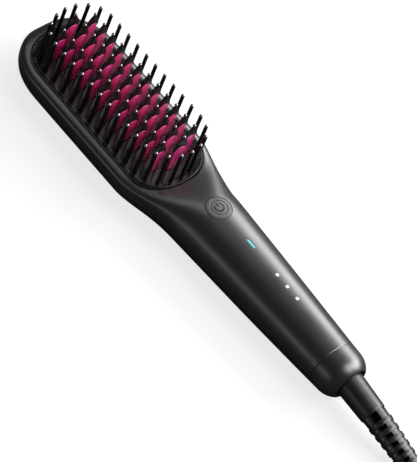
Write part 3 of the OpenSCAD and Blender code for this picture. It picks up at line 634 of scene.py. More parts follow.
@dataclass(frozen=True)
class BodyForm:
    """The outer surface of the head and handle, in millimetres from the head tip."""

    length: float = 282.0
    head_w: float = 63.0
    tip_len: float = 34.0
    tip_power: float = 2.25
    bed_h: float = 25.0
    bed_sunk: float = 0.5
    grip_w: float = 43.4
    grip_h: float = 34.0
    neck_len: float = 49.0
    neck_lap: float = 3.0
    neck_powers: Flat = (1.8, 3.9)
    rise_start: float = 9.0
    rise_len: float = 40.0
    flat_len: float = 40.0
    belly: float = 0.4
    head_powers: Flat = (5.0, 2.4)
    grip_powers: Flat = (2.1, 2.6)
    tail_w: float = 31.5
    tail_h: float = 30.3
    tail_rise: float = 1.9
    wall: float = 2.2
    seam_h: float = 6.5
    cap_len: float = 17.0
    row_x: float = 29.1
    row_end: float = 111.1
    head_wide_z: float = 17.5
    button_d: float = 16.1
    button_gap: float = 1.5
    lights_back: float = 45.6
    lights_apart: float = 8.9
    status_share: float = 0.464

    @property
    def neck_x(self) -> float:
        """Return where the neck starts."""
        return self.row_end - self.neck_lap

    @property
    def grip_x(self) -> float:
        """Return where the neck ends."""
        return self.neck_x + self.neck_len

    @property
    def button_x(self) -> float:
        """Return where the power button is."""
        return self.grip_x + self.button_gap

    @property
    def cap_x(self) -> float:
        """Return where the end cap starts."""
        return self.length - self.cap_len

    @property
    def light_places(self) -> list[float]:
        """Return where the three level lights are."""
        return [self.cap_x - self.lights_back + i * self.lights_apart for i in (-1, 0, 1)]

    @property
    def status_x(self) -> float:
        """Return where the status light is."""
        return mix(self.button_x, self.cap_x - self.lights_back, self.status_share)

    @property
    def axis_z(self) -> float:
        """Return the level of the swivel's axis."""
        return (self.tail_h + self.tail_rise) / 2

    def tail_share(self, x: float) -> float:
        """Return how far x is along the grip, from 0 at the neck to 1 at the cap."""
        return (x - self.grip_x) / (self.cap_x - self.grip_x)

    def half_w(self, x: float) -> float:
        """Return half the width at x.

        Args:
            x: Distance from the head tip.

        Returns:
            Half the width, which falls off round the tip and along the neck.
        """
        grip = mix(self.grip_w, self.tail_w, self.tail_share(x)) / 2
        first, then = self.neck_powers
        neck = (1 - clamp01((x - self.neck_x) / self.neck_len) ** first) ** then
        return mix(grip, self.head_w / 2, neck) * round_end(x, self.tip_len, self.tip_power)

    def top_z(self, x: float) -> float:
        """Return the level of the top.

        Args:
            x: Distance from the head tip.

        Returns:
            The level, which rises from the bed's edge to the grip and then falls off a little.
        """
        grip = self.grip_h - (self.grip_h - self.tail_h) * clamp01(self.tail_share(x)) ** 1.5
        rise = ease((x - self.row_end - self.rise_start) / self.rise_len)
        return mix(self.bed_h - self.bed_sunk, grip, rise)

    def land_z(self, x: float) -> float:
        """Return the level of the underside.

        Args:
            x: Distance from the head tip.

        Returns:
            The level, which is flat below the button and rises towards the cap.
        """
        end = self.button_x + self.flat_len
        rise = (max(x - end, 0) / (self.cap_x - end)) ** 1.6
        return (self.tail_rise + self.belly) * rise - self.belly

    def wide_z(self, x: float) -> float:
        """Return the level at which the body is widest at x."""
        return mix(self.head_wide_z, self.axis_z, ease((x - self.neck_x) / self.neck_len))

    def powers(self, x: float) -> Flat:
        """Return the powers of the upper and the lower half of the section at x."""
        t = ease((x - self.neck_x - 11) / 35)
        return tuple(mix(head, grip, t) for head, grip in zip(self.head_powers, self.grip_powers))

    def heights(self, x: float, inset: float) -> tuple[float, float, float, float]:
        """Return the sizes of the section at x.

        Args:
            x: Distance from the head tip.
            inset: How far the section is drawn in.

        Returns:
            Half the width, height above and depth below the widest level, and that level.
        """
        # The end cap rounds off the last 14 mm, the nose the first 9 mm above and 48 mm below.
        s = round_end(self.length - x + 3.8, 14, 2.2)
        zc = self.wide_z(x)
        up = (self.top_z(x) - zc) * round_end(x, 9, 2.2) * s - inset
        low = (zc - self.land_z(x)) * round_end(x, 48, 2.4) * s - inset
        return self.half_w(x) * s - inset, up, low, zc

    def arc(self, x: float, inset: float, start: float, stop: float, count: int) -> list[Point]:
        """Return evenly spaced points along the section at x.

        Args:
            x: Distance from the head tip.
            inset: How far the section is drawn in.
            start: First angle in degrees, 0 at +Y and 90 at the top.
            stop: Last angle in degrees.
            count: Number of steps.

        Returns:
            count + 1 points.
        """
        w, up, low, zc = self.heights(x, inset)
        n_up, n_low = self.powers(x)
        fine = []
        for k in range(361):
            a = math.radians(mix(start, stop, k / 360))
            n, h = (n_up, up) if math.sin(a) >= 0 else (n_low, low)
            z = zc + h * signed_power(math.sin(a), 2 / n)
            fine.append((x, w * signed_power(math.cos(a), 2 / n), max(z, 0.0)))
        return spaced(fine, count)

    def seam_angle(self, x: float, inset: float, level: float) -> float:
        """Return the angle below the widest level at which the section reaches a level.

        Args:
            x: Distance from the head tip.
            inset: How far the section is drawn in.
            level: The level.

        Returns:
            The angle in degrees.
        """
        _, _, low, zc = self.heights(x, inset)
        part = min(max((zc - level) / low, 0.0), 1.0)
        return math.degrees(math.asin(min(part ** (self.powers(x)[1] / 2), 0.985)))

    def skin_z(self, x: float, y: float) -> float:
        """Return the level of the top surface over a point.

        Args:
            x: Distance from the head tip.
            y: Distance from the middle.

        Returns:
            The level.
        """
        n = self.powers(x)[0]
        zc = self.wide_z(x)
        return zc + (self.top_z(x) - zc) * (1 - (abs(y) / self.half_w(x)) ** n) ** (1 / n)


@dataclass
class Shells:
    """The front shell, the back shell and the end cap."""

    form: BodyForm
    outer_steps: int = 110
    inner_steps: int = 40
    back_steps: int = 58
    groove: float = 0.2
    lip: float = 0.3
    part_line: float = 0.04
    bore_r: float = 10.2
    shaft_r: float = 6.08
    well_r: float = 3.3
    screw_r: float = 2.9
    post_r: float = 4.0
    post_bore_r: float = 1.7
    post_top: float = 9.0
    front_screws: Flat = (33.0, 12.0)
    rear_screw: float = 23.5
    bed_gap: float = 1.8
    bed_ledge: float = 2.0
    status_hole: Flat = (6.9, 2.2)
    dot_hole_r: float = 1.12
    under_skin: float = 22.0
    over_all: float = 60.0

    def stations(self, start: float, stop: float, step: float) -> list[float]:
        """Return distances between two places, near to a step apart."""
        count = max(1, round((stop - start) / step))
        return [mix(start, stop, k / count) for k in range(count + 1)]

    def edged(self, arc: list[Point], x: float) -> list[Point]:
        """Return an outer arc whose two ends are drawn in, for the groove at the seam.

        Args:
            arc: Points from one edge to the other.
            x: Distance of the ring from the head tip.

        Returns:
            The arc, its end points drawn in towards the middle of the section.
        """
        out = list(arc)
        for i in (0, -1):
            _, y, z = arc[i]
            out[i] = (x, y - math.copysign(self.groove, y), z)
        return out

    def front_ring(self, x: float, closed: bool) -> list[Point]:
        """Return one ring of the front shell.

        Args:
            x: Distance of the ring from the head tip.
            closed: Whether it is in the closed nose, where the shell has no opening below.

        Returns:
            The ring's points, from the seam over the top and back along the inside.
        """
        form, foot = self.form, self.form.seam_h + self.part_line
        a = form.seam_angle(9 if closed else x, 0, foot)
        if closed:
            outer = form.arc(x, 0, -a, 180 + a, self.outer_steps)
            return outer + form.arc(x, 0, 180 + a, 360 - a, self.inner_steps + 2)[1:-1]
        b = form.seam_angle(x, form.wall, foot)
        edge = form.seam_angle(x, 0, foot + self.lip)
        inner = form.arc(x, form.wall, 180 + b, -b, self.inner_steps)
        outer = form.arc(x, 0, -edge, 180 + edge, self.outer_steps - 2)
        ends = form.arc(x, 0, -a, 180 + a, 4)
        return self.edged([ends[0]] + outer + [ends[-1]], x) + [(x, y, max(z, foot)) for _, y, z in inner]

    def end_ring(self) -> list[Point]:
        """Return the front shell's last ring.

        Returns:
            The ring's points, the outer ones drawn in for the groove before the end cap.
        """
        form = self.form
        ring = self.front_ring(form.cap_x, False)
        count = self.outer_steps + 1
        w, up, _, zc = form.heights(form.cap_x, 0)
        outer = [(x, y * (1 - self.groove / w), zc + (z - zc) * (1 - self.groove / up))
                 for x, y, z in ring[:count]]
        return outer + ring[count:]

    def front(self) -> None:
        """Build the front shell with its openings."""
        nose = [0.02, 0.12, 0.3, 0.6, 1.0, 1.6, 2.4, 3.4, 4.6, 6.0, 7.5, 9.0]
        rings = [self.front_ring(x, True) for x in nose]
        # The ring close before the last one keeps the smooth shading flat up to the groove.
        rest = self.stations(9.1, self.form.cap_x - 0.7, 1.5) + [self.form.cap_x - 0.4]
        rings += [self.front_ring(x, False) for x in rest]
        mould = Mould()
        mould.skin(rings + [self.end_ring()], End.NOSE, self.outer_steps + 1)
        shell = mould.cast("front_case", [self.finish])
        self.open_up(shell)
        settle(shell, "brush", "shell_black", "front_shell")

    @property
    def finish(self) -> LitShellFinish:
        """Return the shells' coat.

        Returns:
            The finish, with its glow round the level lights.
        """
        places = self.form.light_places
        spots = tuple(((x - HALF_LENGTH) * MM, 0.0, self.form.top_z(x) * MM) for x in places)
        return replace(SOFT_TOUCH, lights=spots)

    def open_up(self, shell: bpy.types.Object) -> None:
        """Cut the openings for the bed, the button, the status light and the level lights.

        Args:
            shell: The front shell.
        """
        form, low, high = self.form, self.under_skin, self.over_all
        bed = BedForm(form)
        mould = Mould()
        mould.prism(bed.outline(self.bed_gap), bed.under, high)
        mould.lathe(rod(form.button_d / 2, low, high), upright(form.button_x, 0), 64)
        mould.prism(capsule(form.status_x, 0, *self.status_hole), low, high)
        for x in form.light_places:
            mould.lathe(rod(self.dot_hole_r, low, high), upright(x, 0), 32)
        cut(shell, mould)
        # Below the ledge that carries the bed, the opening goes through to the hollow.
        mould = Mould()
        mould.prism(bed.outline(-self.bed_ledge), 12, high)
        cut(shell, mould)

    def back_ring(self, x: float) -> list[Point]:
        """Return one ring of the back shell.

        Args:
            x: Distance of the ring from the head tip.

        Returns:
            The ring's points, from the seam round below and back along the inside.
        """
        form, top = self.form, self.form.seam_h - self.part_line
        a = form.seam_angle(x, 0, top)
        edge = form.seam_angle(x, 0, top - self.lip)
        b = form.seam_angle(x, form.wall, form.seam_h)
        outer = form.arc(x, 0, 180 + edge, 360 - edge, self.back_steps)
        ends = form.arc(x, 0, 180 + a, 360 - a, 4)
        inner = form.arc(x, form.wall, 360 - b, 180 + b, 30)
        return self.edged([ends[0]] + outer + [ends[-1]], x) + [(x, y, min(z, top)) for _, y, z in inner]

    def back(self) -> None:
        """Build the back shell with its screw wells."""
        form = self.form
        mould = Mould()
        rings = [self.back_ring(x) for x in self.stations(9.1, form.cap_x, 2.0)]
        mould.skin(rings, End.BAND, self.back_steps + 3)
        shell = mould.cast("back_case", [self.finish])
        along, aside = self.front_screws
        places = [(form.neck_x + along, aside), (form.neck_x + along, -aside),
                  (form.cap_x - self.rear_screw, 0)]
        head, bore = self.well_r, self.screw_r
        well = [(0, -3), (head, -3), (head, 0.1), (bore, 0.5), (bore, 12), (0, 12)]
        inside, post, top = self.post_bore_r, self.post_r, self.post_top
        boss = [(inside, 3.2), (bore, 3.2), (bore, 1.0), (post, 1.4), (post, top), (inside, top),
                (inside, 3.2)]
        wells, posts = Mould(), Mould()
        for x, y in places:
            wells.lathe(well, upright(x, y), 40)
            posts.lathe(boss, upright(x, y), 40)
        cut(shell, wells)
        settle(posts.cast("screw_bosses", [self.finish]), "brush", "shell_black")
        settle(shell, "brush", "shell_black", "back_shell")

    def cap_ring(self, x: float, inset: float) -> list[Point]:
        """Return one ring of the end cap."""
        return self.form.arc(x, inset, 0, 360, 96)[:-1]

    def bore_ring(self, x: float, r: float) -> list[Point]:
        """Return a round ring of the end cap's bore, its points in line with the outer rings'.

        Args:
            x: Distance of the ring from the head tip.
            r: Its radius.

        Returns:
            The ring's points.
        """
        zc = self.form.axis_z
        ring = []
        for _, y, z in self.cap_ring(self.form.length - 0.4, 0):
            a = math.atan2(z - zc, y)
            ring.append((x, r * math.cos(a), zc + r * math.sin(a)))
        return ring

    def end_cap(self) -> None:
        """Build the end cap with its spigot and bore."""
        start, end, bore = self.form.cap_x, self.form.length, self.bore_r
        face = start + 0.1
        spigot, inside = self.form.wall + 0.25, self.form.wall + 1.6
        outside = [(start + 3, inside), (start - 7, inside), (start - 7, spigot), (face, spigot),
                   (face, self.groove)]
        outside += [(x, 0) for x in self.stations(face + 0.25, 275, 1.2)]
        outside += [(end - back, 0) for back in (6, 5, 4, 3.2, 2.5, 1.9, 1.4, 1.0, 0.7, 0.4)]
        outside += [(end - 0.12, 0.12), (end, 0.4)]
        hollow = [(end, bore + 0.35), (end - 0.15, bore + 0.1), (end - 0.5, bore), (start + 9, bore),
                  (start + 9, self.shaft_r), (start + 3, self.shaft_r)]
        rings = [self.cap_ring(x, inset) for x, inset in outside] + [self.bore_ring(x, r) for x, r in hollow]
        mould = Mould()
        mould.skin(rings, End.JOINED)
        settle(mould.cast("end_cap_shell", [self.finish]), "brush", "shell_black", "end_cap")

    def build(self) -> None:
        """Build the three pieces of the case."""
        self.front()
        self.back()
        self.end_cap()


def capsule(x: float, y: float, length: float, width: float, steps: int = 12) -> list[Flat]:
    """Return the outline of a bar along X with round ends.

    Args:
        x: Its centre along the brush.
        y: Its centre across the brush.
        length: Its full length.
        width: Its full width.
        steps: Number of steps round each end.

    Returns:
        Points round the bar.
    """
    r, out = width / 2, []
    for side in (1, -1):
        for k in range(steps + 1):
            a = math.radians(-90 + 180 * k / steps)
            out.append((x + side * ((length - width) / 2 + r * math.cos(a)), y + side * r * math.sin(a)))
    return out


# Bristle head


@dataclass(frozen=True)
class BedForm:
    """Outline and levels of the bristle bed."""

    form: BodyForm
    pin_spread: float = 42.4
    pin_reach: float = 16.8
    margin: float = 3.6
    thickness: float = 2.4

    @property
    def under(self) -> float:
        """Return the level of the bed's underside."""
        return self.form.bed_h - self.thickness

    def outline(self, grow: float, steps: int = 36) -> list[Flat]:
        """Return the bed's outline: two straight sides closed by half ovals.

        Args:
            grow: How far it is let out.
            steps: Number of steps round each end.

        Returns:
            Points against the clock, seen from above.
        """
        w = self.pin_spread / 2 + self.margin + grow
        reach = self.pin_reach + self.margin - 0.5 + grow
        out = []
        for side, x in ((1, self.form.row_end), (-1, self.form.row_x)):
            end = []
            for k in range(181):
                a = math.radians(-90 + k)
                end.append((side * reach * signed_power(math.cos(a), 2 / 2.2) + x,
                            side * w * signed_power(math.sin(a), 2 / 2.2), 0.0))
            out += [(p[0], p[1]) for p in spaced(end, steps)]
        return out

    def band(self, profile: Sequence[Flat]) -> list[list[Point]]:
        """Return rings that follow the outline, let out and lifted along a profile."""
        return [[(x, y, z) for x, y in self.outline(grow)] for grow, z in profile]


@dataclass
class BristleHead:
    """The bed with its pins, its trim, the heating fins and their caps."""

    form: BodyForm
    pin_rows: int = 11
    pitch: float = 8.2
    pin_h: float = 25.7
    pin_d: float = 2.3
    fin_w: float = 8.7
    fin_t: float = 1.9
    column: float = 11.9
    side_h: float = 28.3
    mid_h: float = 30.2
    arch_rise: float = 2.5
    cap_rise: float = 10.6
    cap_t: float = 2.6
    cap_w: float = 9.2
    knob_d: float = 2.2
    plate_top: float = 21.9
    rim_share: float = 0.72
    rim_depth: float = 0.4

    @property
    def bed(self) -> BedForm:
        """Return the bed's outline and levels."""
        return BedForm(self.form)

    @property
    def arch_r(self) -> float:
        """Return the radius of a blade's arch."""
        return ((self.fin_w / 2) ** 2 + self.arch_rise ** 2) / (2 * self.arch_rise)

    def fins(self) -> list[Point]:
        """Return the fins in their staggered rows.

        Returns:
            The place along and across the brush, and the height, of each fin.
        """
        x0 = self.form.row_x
        middle = [(x0 + i * self.pitch, 0.0, self.mid_h) for i in range(-1, self.pin_rows + 1)]
        sides = [(x0 + (i - 0.5) * self.pitch, s * self.column, self.side_h)
                 for i in range(self.pin_rows + 1) for s in (-1, 1)]
        return middle + sides

    def shoulders(self) -> list[Point]:
        """Return the place of each fin and the level at which its arch starts."""
        drop = self.knob_d + self.cap_rise
        return [(x, y, self.form.bed_h + height - drop) for x, y, height in self.fins()]

    def pin_places(self) -> list[Flat]:
        """Return the pins' places: two straight rows and a half ring at each end.

        Returns:
            The place along and across the brush of each pin.
        """
        form, y, reach = self.form, self.bed.pin_spread / 2, self.bed.pin_reach
        out = [(form.row_x + i * self.pitch, s * y) for i in range(self.pin_rows) for s in (-1, 1)]
        for a in (math.radians(d) for d in (25, 48, 70, 90, 110, 132, 155)):
            out.append((form.row_x - reach * math.sin(a), y * math.cos(a)))
            out.append((form.row_end + reach * math.sin(a), y * math.cos(a)))
        return out

    def build_bed(self) -> None:
        """Build the glossy bed with its raised lip and the slots for the fins."""
        h, end = self.form.bed_h, self.form.row_end + 4
        lip = [(0, 0.28), (-0.1, 0.42), (-0.28, 0.5), (-0.55, 0.5), (-0.72, 0.44)]
        slope = [(-0.84, 0.44), (-1.4, 0.31), (-2.0, 0.175), (-2.6, 0.04), (-2.9, 0.0)]
        rings = self.bed.band([(0, self.bed.under)] + [(grow, h + lift) for grow, lift in lip])
        # The slope inside the lip is there at the handle's end and fades out towards the pins.
        for ring in self.bed.band([(grow, h + lift) for grow, lift in slope]):
            rings.append([(x, y, h + (z - h) * ease((x - end) / 8)) for x, y, z in ring])
        mould = Mould()
        mould.skin(rings)
        bed = mould.cast("bristle_plate", [GLOSS])
        slots = Mould()
        for x, y, _ in self.fins():
            dx, dy = self.fin_t / 2 + 0.3, self.fin_w / 2 + 0.3
            slots.prism([(x - dx, y - dy), (x + dx, y - dy), (x + dx, y + dy), (x - dx, y + dy)], 20, 40)
        cut(bed, slots)
        settle(bed, "brush", "gloss_black", "bristle_bed")

    def build_trim(self) -> None:
        """Build the ring round the bed, which slopes outwards."""
        h, under = self.form.bed_h, self.bed.under
        top = [(0.2, 0.02), (0.3, 0.14), (0.5, 0.22), (0.66, 0.25), (0.76, 0.16), (0.95, -0.2),
               (1.15, -0.38), (1.35, -0.4), (1.5, -0.46), (1.58, -0.58), (1.6, -0.75)]
        profile = [(0.2, under)] + [(grow, h + lift) for grow, lift in top] + [(1.6, under)]
        mould = Mould()
        mould.skin(self.bed.band(profile), End.JOINED)
        settle(mould.cast("bed_rim", [GLOSS]), "brush", "gloss_black", "bed_trim")

    def build_pins(self) -> None:
        """Build the round-tipped guard pins."""
        h, top, r = self.form.bed_h, self.pin_h, self.pin_d / 2
        tip = [(r * signed_power(math.cos(a), 0.8), top - r + r * signed_power(math.sin(a), 0.8))
               for a in (math.radians(d) for d in range(0, 91, 10))]
        shaft = [(0.0, 0.0), (r + 0.2, 0.0), (r + 0.1, 0.4), (r, 1.2), (r, 6.0), tip[0]]
        mould = Mould()
        for x, y in self.pin_places():
            for finish, profile in enumerate((shaft, tip)):
                mould.lathe(profile, upright(x, y, h), 24, finish, End.OPEN)
        pins = mould.cast("guard_pins", [PIN_BLACK, KNOB_BLACK], 60)
        settle(pins, "brush", "gloss_black", "bristle_pins")

    def arch(self, y: float) -> float:
        """Return the height of a blade's arch above its shoulder.

        Args:
            y: Distance from the blade's middle.

        Returns:
            The height, which is 0 past the blade's sides.
        """
        if abs(y) >= self.fin_w / 2:
            return 0.0
        return self.arch_rise - self.arch_r + math.sqrt(self.arch_r ** 2 - y * y)

    def rim(self, depth: float) -> float:
        """Return the share of a blade's thickness at a depth below its edge."""
        return mix(self.rim_share, 1.0, round_end(depth, self.rim_depth, 2))

    def add_blade(self, mould: Mould, x: float, y: float, shoulder: float) -> None:
        """Add one blade, thickest in its middle and rounded along its edges.

        Args:
            mould: The mould that takes it.
            x: Place along the brush.
            y: Place across the brush.
            shoulder: Level at which its arch starts.
        """
        half = self.fin_w / 2
        across = [math.sin(math.radians(mix(-90, 90, k / 24))) * half for k in range(25)]
        straight = (self.plate_top, self.form.bed_h, shoulder - 3.0, shoulder - 1.2)
        levels = [(level, None) for level in straight]
        levels += [(shoulder, drop) for drop in (0.7, 0.5, 0.35, 0.22, 0.12, 0.05, 0.01, 0.0)]
        rings = []
        for level, drop in levels:
            ring = []
            for side in (1, -1):
                for v in across[::-side]:
                    swell = self.fin_t / 2 * (1 - 0.5 * (v / half) ** 2) * self.rim(half - abs(v))
                    top = level if drop is None else level + self.arch(v) - drop
                    ring.append((x + side * swell * self.rim(9 if drop is None else drop), y + v, top))
            rings.append(ring)
        mould.skin(rings)

    def build_blades(self) -> None:
        """Build the magenta blades with eased edges."""
        mould = Mould()
        for x, y, shoulder in self.shoulders():
            self.add_blade(mould, x, y, shoulder)
        blades = mould.cast("heating_blades", [FIN_COAT], 40)
        settle(blades, "brush", "fin_magenta", "heating_fins")

    @property
    def cap_bow(self) -> Flat:
        """Return how far past the middle each side of a cap's arch is centred, and its radius."""
        shift = (self.cap_rise ** 2 - (self.cap_w / 2) ** 2) / self.cap_w
        return shift, self.cap_w / 2 + shift

    def cap_half(self, z: float) -> float:
        """Return half the width of a cap's pointed arch at a height above its foot."""
        shift, r = self.cap_bow
        return math.sqrt(max(r * r - z * z, 0)) - shift

    def cap_top(self, y: float) -> float:
        """Return the height of a cap's pointed arch at y from its middle."""
        shift, r = self.cap_bow
        return math.sqrt(max(r * r - (abs(y) + shift) ** 2, 0))

    def cap_column(self, v: float, side: int, rows: int) -> list[Point]:
        """Return one column of points up the face of a cap.

        Args:
            v: Distance of the column from the cap's middle.
            side: Which face it is on, 1 or -1.
            rows: Number of steps up the column.

        Returns:
            Points measured from the middle of the cap's foot.
        """
        low, high = self.arch(v), max(self.cap_top(v), self.arch(v) + 0.02)
        column = []
        for i in range(rows + 1):
            w = mix(low, high, i / rows)
            edge = clamp01(abs(v) / max(self.cap_half(min(w, self.cap_rise - 0.4)), 0.6))
            swell = (1 - 0.4 * edge ** 2 - 0.07 * (i % 2)) * mix(0.36, 1.0, round_end(w - low, 2.4, 2))
            column.append((side * self.cap_t / 2 * mix(swell, 0.5, (i / rows) ** 3), v, w))
        return column

    def add_cap(self, mould: Mould, x: float, y: float, foot: float) -> None:
        """Add one ridged, pointed cap with its knob.

        Args:
            mould: The mould that takes it.
            x: Place along the brush.
            y: Place across the brush.
            foot: Level of the cap's foot.
        """
        columns, rows, half = 20, 10, self.cap_w / 2
        across = [mix(-half, half, j / columns) for j in range(columns + 1)]
        points = [(x + u, y + v, foot + w) for side in (1, -1) for at in across
                  for u, v, w in self.cap_column(at, side, rows)]
        mould.add(points, pouch(columns, rows))
        r = self.knob_d / 2
        centre = foot + self.cap_rise + r - 0.6
        stem = [(0.0, -2.2), (0.8, -2.2), (0.62, -0.9)]
        ball = [(r * math.cos(a), r * math.sin(a)) for a in (math.radians(d) for d in range(-54, 91, 18))]
        mould.lathe(stem + ball, upright(x, y, centre), 20, finish=1)

    def build_caps(self) -> None:
        """Build the black caps on the fins."""
        mould = Mould()
        for x, y, shoulder in self.shoulders():
            self.add_cap(mould, x, y, shoulder)
        caps = mould.cast("pointed_caps", [CAP_BLACK, KNOB_BLACK], 28)
        settle(caps, "brush", "cap_black", "fin_caps")

    def build(self) -> None:
        """Build every piece of the head."""
        self.build_bed()
        self.build_trim()
        self.build_pins()
        self.build_blades()
        self.build_caps()


# Controls


@dataclass
class Controls:
    """The power button with its ring and sign, the status light and the level lights."""

    form: BodyForm
    ring_d: float = 15.9
    button_d: float = 9.8
    light_l: float = 6.7
    light_w: float = 2.0
    dot_d: float = 2.1
    sign_r: float = 2.75
    sign_half: float = 0.4
    sign_lift: float = 0.035
    ring_foot: float = 28.4
    button_foot: float = 27.1
    status_foot: float = 23.8
    dot_foot: float = 23.9

    def face(self, u: float, v: float, lift: float) -> Point:
        """Return a point so far along, across and above the handle's surface at the button."""
        x = self.form.button_x + u
        return (x, v, self.form.skin_z(x, v) + lift)

    def disc(self, mould: Mould, profile: Sequence[Flat], floor: float, steps: int = 96) -> None:
        """Add a round piece whose top follows the handle.

        Args:
            mould: The mould that takes it.
            profile: Radius and lift of each ring on the top, from its outer edge inwards.
            floor: Level of its flat underside.
            steps: Points round it.
        """
        x = self.form.button_x
        angles = [2 * math.pi * k / steps for k in range(steps)]
        rings = [[(x + profile[0][0] * math.cos(a), profile[0][0] * math.sin(a), floor) for a in angles]]
        rings += [[self.face(r * math.cos(a), r * math.sin(a), lift) for a in angles] for r, lift in profile]
        if profile[-1][0] > 0.5:
            r = profile[-1][0]
            rings.append([(x + r * math.cos(a), r * math.sin(a), floor) for a in angles])
            mould.skin(rings, End.JOINED)
        else:
            mould.skin(rings)

    def build_ring(self) -> None:
        """Build the flat ring round the power button."""
        r0, r1 = self.ring_d / 2, self.button_d / 2 + 0.2
        mould = Mould()
        self.disc(mould, [(r0, -0.7), (r0 - 0.14, -0.25), (r0 - 0.34, 0.02), (r0 - 0.6, 0.08),
                          (r1 + 0.8, 0.1), (r1 + 0.25, 0.08), (r1 + 0.06, -0.02), (r1, -0.2)],
                  self.ring_foot)
        settle(mould.cast("button_ring", [HIGHLIT_BUTTON]), "brush", "button_black", "button_bezel")

    def build_button(self) -> None:
        """Build the power button."""
        r = self.button_d / 2
        mould = Mould()
        self.disc(mould, [(r, -0.3), (r - 0.06, -0.08), (r - 0.25, 0.02), (r - 1, 0.04), (3.2, 0.02),
                          (1.6, 0.0), (0.4, 0.0)], self.button_foot)
        button = mould.cast("button_cap", [HIGHLIT_BUTTON])
        settle(button, "button", "button_black", "power_button")

    def add_stroke(self, mould: Mould, line: list[Flat]) -> None:
        """Add a raised stroke of the sign along a line on the button.

        Args:
            mould: The mould that takes it.
            line: The line's points, measured from the button's middle.
        """
        w, rings = self.sign_half, []
        for i, (u, v) in enumerate(line):
            before, after = line[max(i - 1, 0)], line[min(i + 1, len(line) - 1)]
            d = Vector((after[0] - before[0], after[1] - before[1])).normalized()
            left, right = (u - d.y * w, v + d.x * w), (u + d.y * w, v - d.x * w)
            rings.append([self.face(*left, -0.05), self.face(*left, self.sign_lift),
                          self.face(*right, self.sign_lift), self.face(*right, -0.05)])
        mould.skin(rings)

    def build_sign(self) -> None:
        """Build the power sign on the button: an open ring and a bar."""
        mould, r = Mould(), self.sign_r
        angles = [math.radians(a) for a in range(38, 323, 6)]
        self.add_stroke(mould, [(-r * math.cos(a), r * math.sin(a)) for a in angles])
        self.add_stroke(mould, [(u, 0.0) for u in (-3.3, -2.6, -1.9, -1.2, -0.5)])
        settle(mould.cast("power_sign", [SIGN]), "button", "button_black")

    def build_light(self) -> None:
        """Build the status light, a recessed capsule."""
        x = self.form.status_x
        top = self.form.top_z(x)
        levels = [(0, self.status_foot), (0, top - 0.45), (0.12, top - 0.3), (0.4, top - 0.2),
                  (0.8, top - 0.17)]
        rings = []
        for inset, z in levels:
            outline = capsule(x, 0, self.light_l - 2 * inset, self.light_w - 2 * inset)
            rings.append([(u, v, z) for u, v in outline])
        mould = Mould()
        mould.skin(rings)
        settle(mould.cast("status_lens", [CYAN]), "brush", "light_cyan", "light_window")

    def build_dots(self) -> None:
        """Build the three level lights on their light guide."""
        mould, r, foot = Mould(), self.dot_d / 2, self.dot_foot
        for x in self.form.light_places:
            top = self.form.top_z(x)
            dome = [(r, top - 0.12), (r - 0.12, top), (r - 0.4, top + 0.07), (0.2, top + 0.1),
                    (0.0, top + 0.1)]
            mould.lathe([(0, foot), (r, foot)] + dome, upright(x, 0), 32)
        settle(mould.cast("level_lenses", [WHITE]), "brush", "light_white", "light_dots")

    def build(self) -> None:
        """Build every control."""
        self.build_ring()
        self.build_button()
        self.build_sign()
        self.build_light()
        self.build_dots()


# Swivel and cord


@dataclass(frozen=True)
class ReliefForm:
    """The strain relief's centre line and radius along its length."""

    form: BodyForm
    seat: float = 5.7
    droop: float = 6.8
    dip: float = 11.3
    sleeve: float = 27.0
    dive: float = 21.0
    rise: float = 33.5
    start_r: float = 8.7
    mid_r: float = 7.9
    end_r: float = 5.8
    core_r: float = 3.1
    rib_pitch: float = 5.4
    rib_t: float = 3.2
    ribs: int = 9
    web_half: float = 21.0
    web_slope: float = 4.0

    @property
    def length(self) -> float:
        """Return the length along the centre line."""
        return self.sleeve + self.dive + self.rise

    @property
    def start(self) -> Point:
        """Return the point where the centre line starts."""
        return (self.form.length - self.seat, 0.0, self.form.axis_z)

    def angle(self, s: float) -> float:
        """Return how many degrees the centre line points down.

        Args:
            s: Length along the centre line.

        Returns:
            The angle: even in the sleeve, then steeper, then back to level.
        """
        if s < self.sleeve:
            return self.droop
        if s < self.sleeve + self.dive:
            return mix(self.droop, self.dip, (s - self.sleeve) / self.dive)
        return self.dip * (1 - (s - self.sleeve - self.dive) / self.rise)

    def at(self, s: float) -> Point:
        """Return a point of the centre line.

        Args:
            s: Length along the centre line, below 0 inside the handle.

        Returns:
            The point.
        """
        steps = max(2, math.ceil(abs(s) * 8))
        x, _, z = self.start
        if s < 0:
            a = math.radians(self.droop)
            return (x + s * math.cos(a), 0.0, z - s * math.sin(a))
        for k in range(steps):
            a = math.radians(self.angle((k + 0.5) * s / steps))
            x += math.cos(a) * s / steps
            z -= math.sin(a) * s / steps
        return (x, 0.0, z)

    def radius(self, s: float) -> float:
        """Return the outer radius.

        Args:
            s: Length along the centre line.

        Returns:
            The radius.
        """
        if s < self.sleeve:
            return mix(self.start_r, self.mid_r, s / self.sleeve)
        return mix(self.mid_r, self.end_r, (s - self.sleeve) / (self.length - self.sleeve))

    def ring(self, s: float, radii: Sequence[float]) -> list[Point]:
        """Return a ring across the centre line.

        Args:
            s: Length along the centre line.
            radii: The radius of each of the ring's points.

        Returns:
            The ring's points.
        """
        cx, _, cz = self.at(s)
        t = math.radians(self.angle(s))
        out = []
        for k, r in enumerate(radii):
            a = 2 * math.pi * k / len(radii)
            rise = r * math.sin(a)
            out.append((cx + rise * math.sin(t), r * math.cos(a), cz + rise * math.cos(t)))
        return out


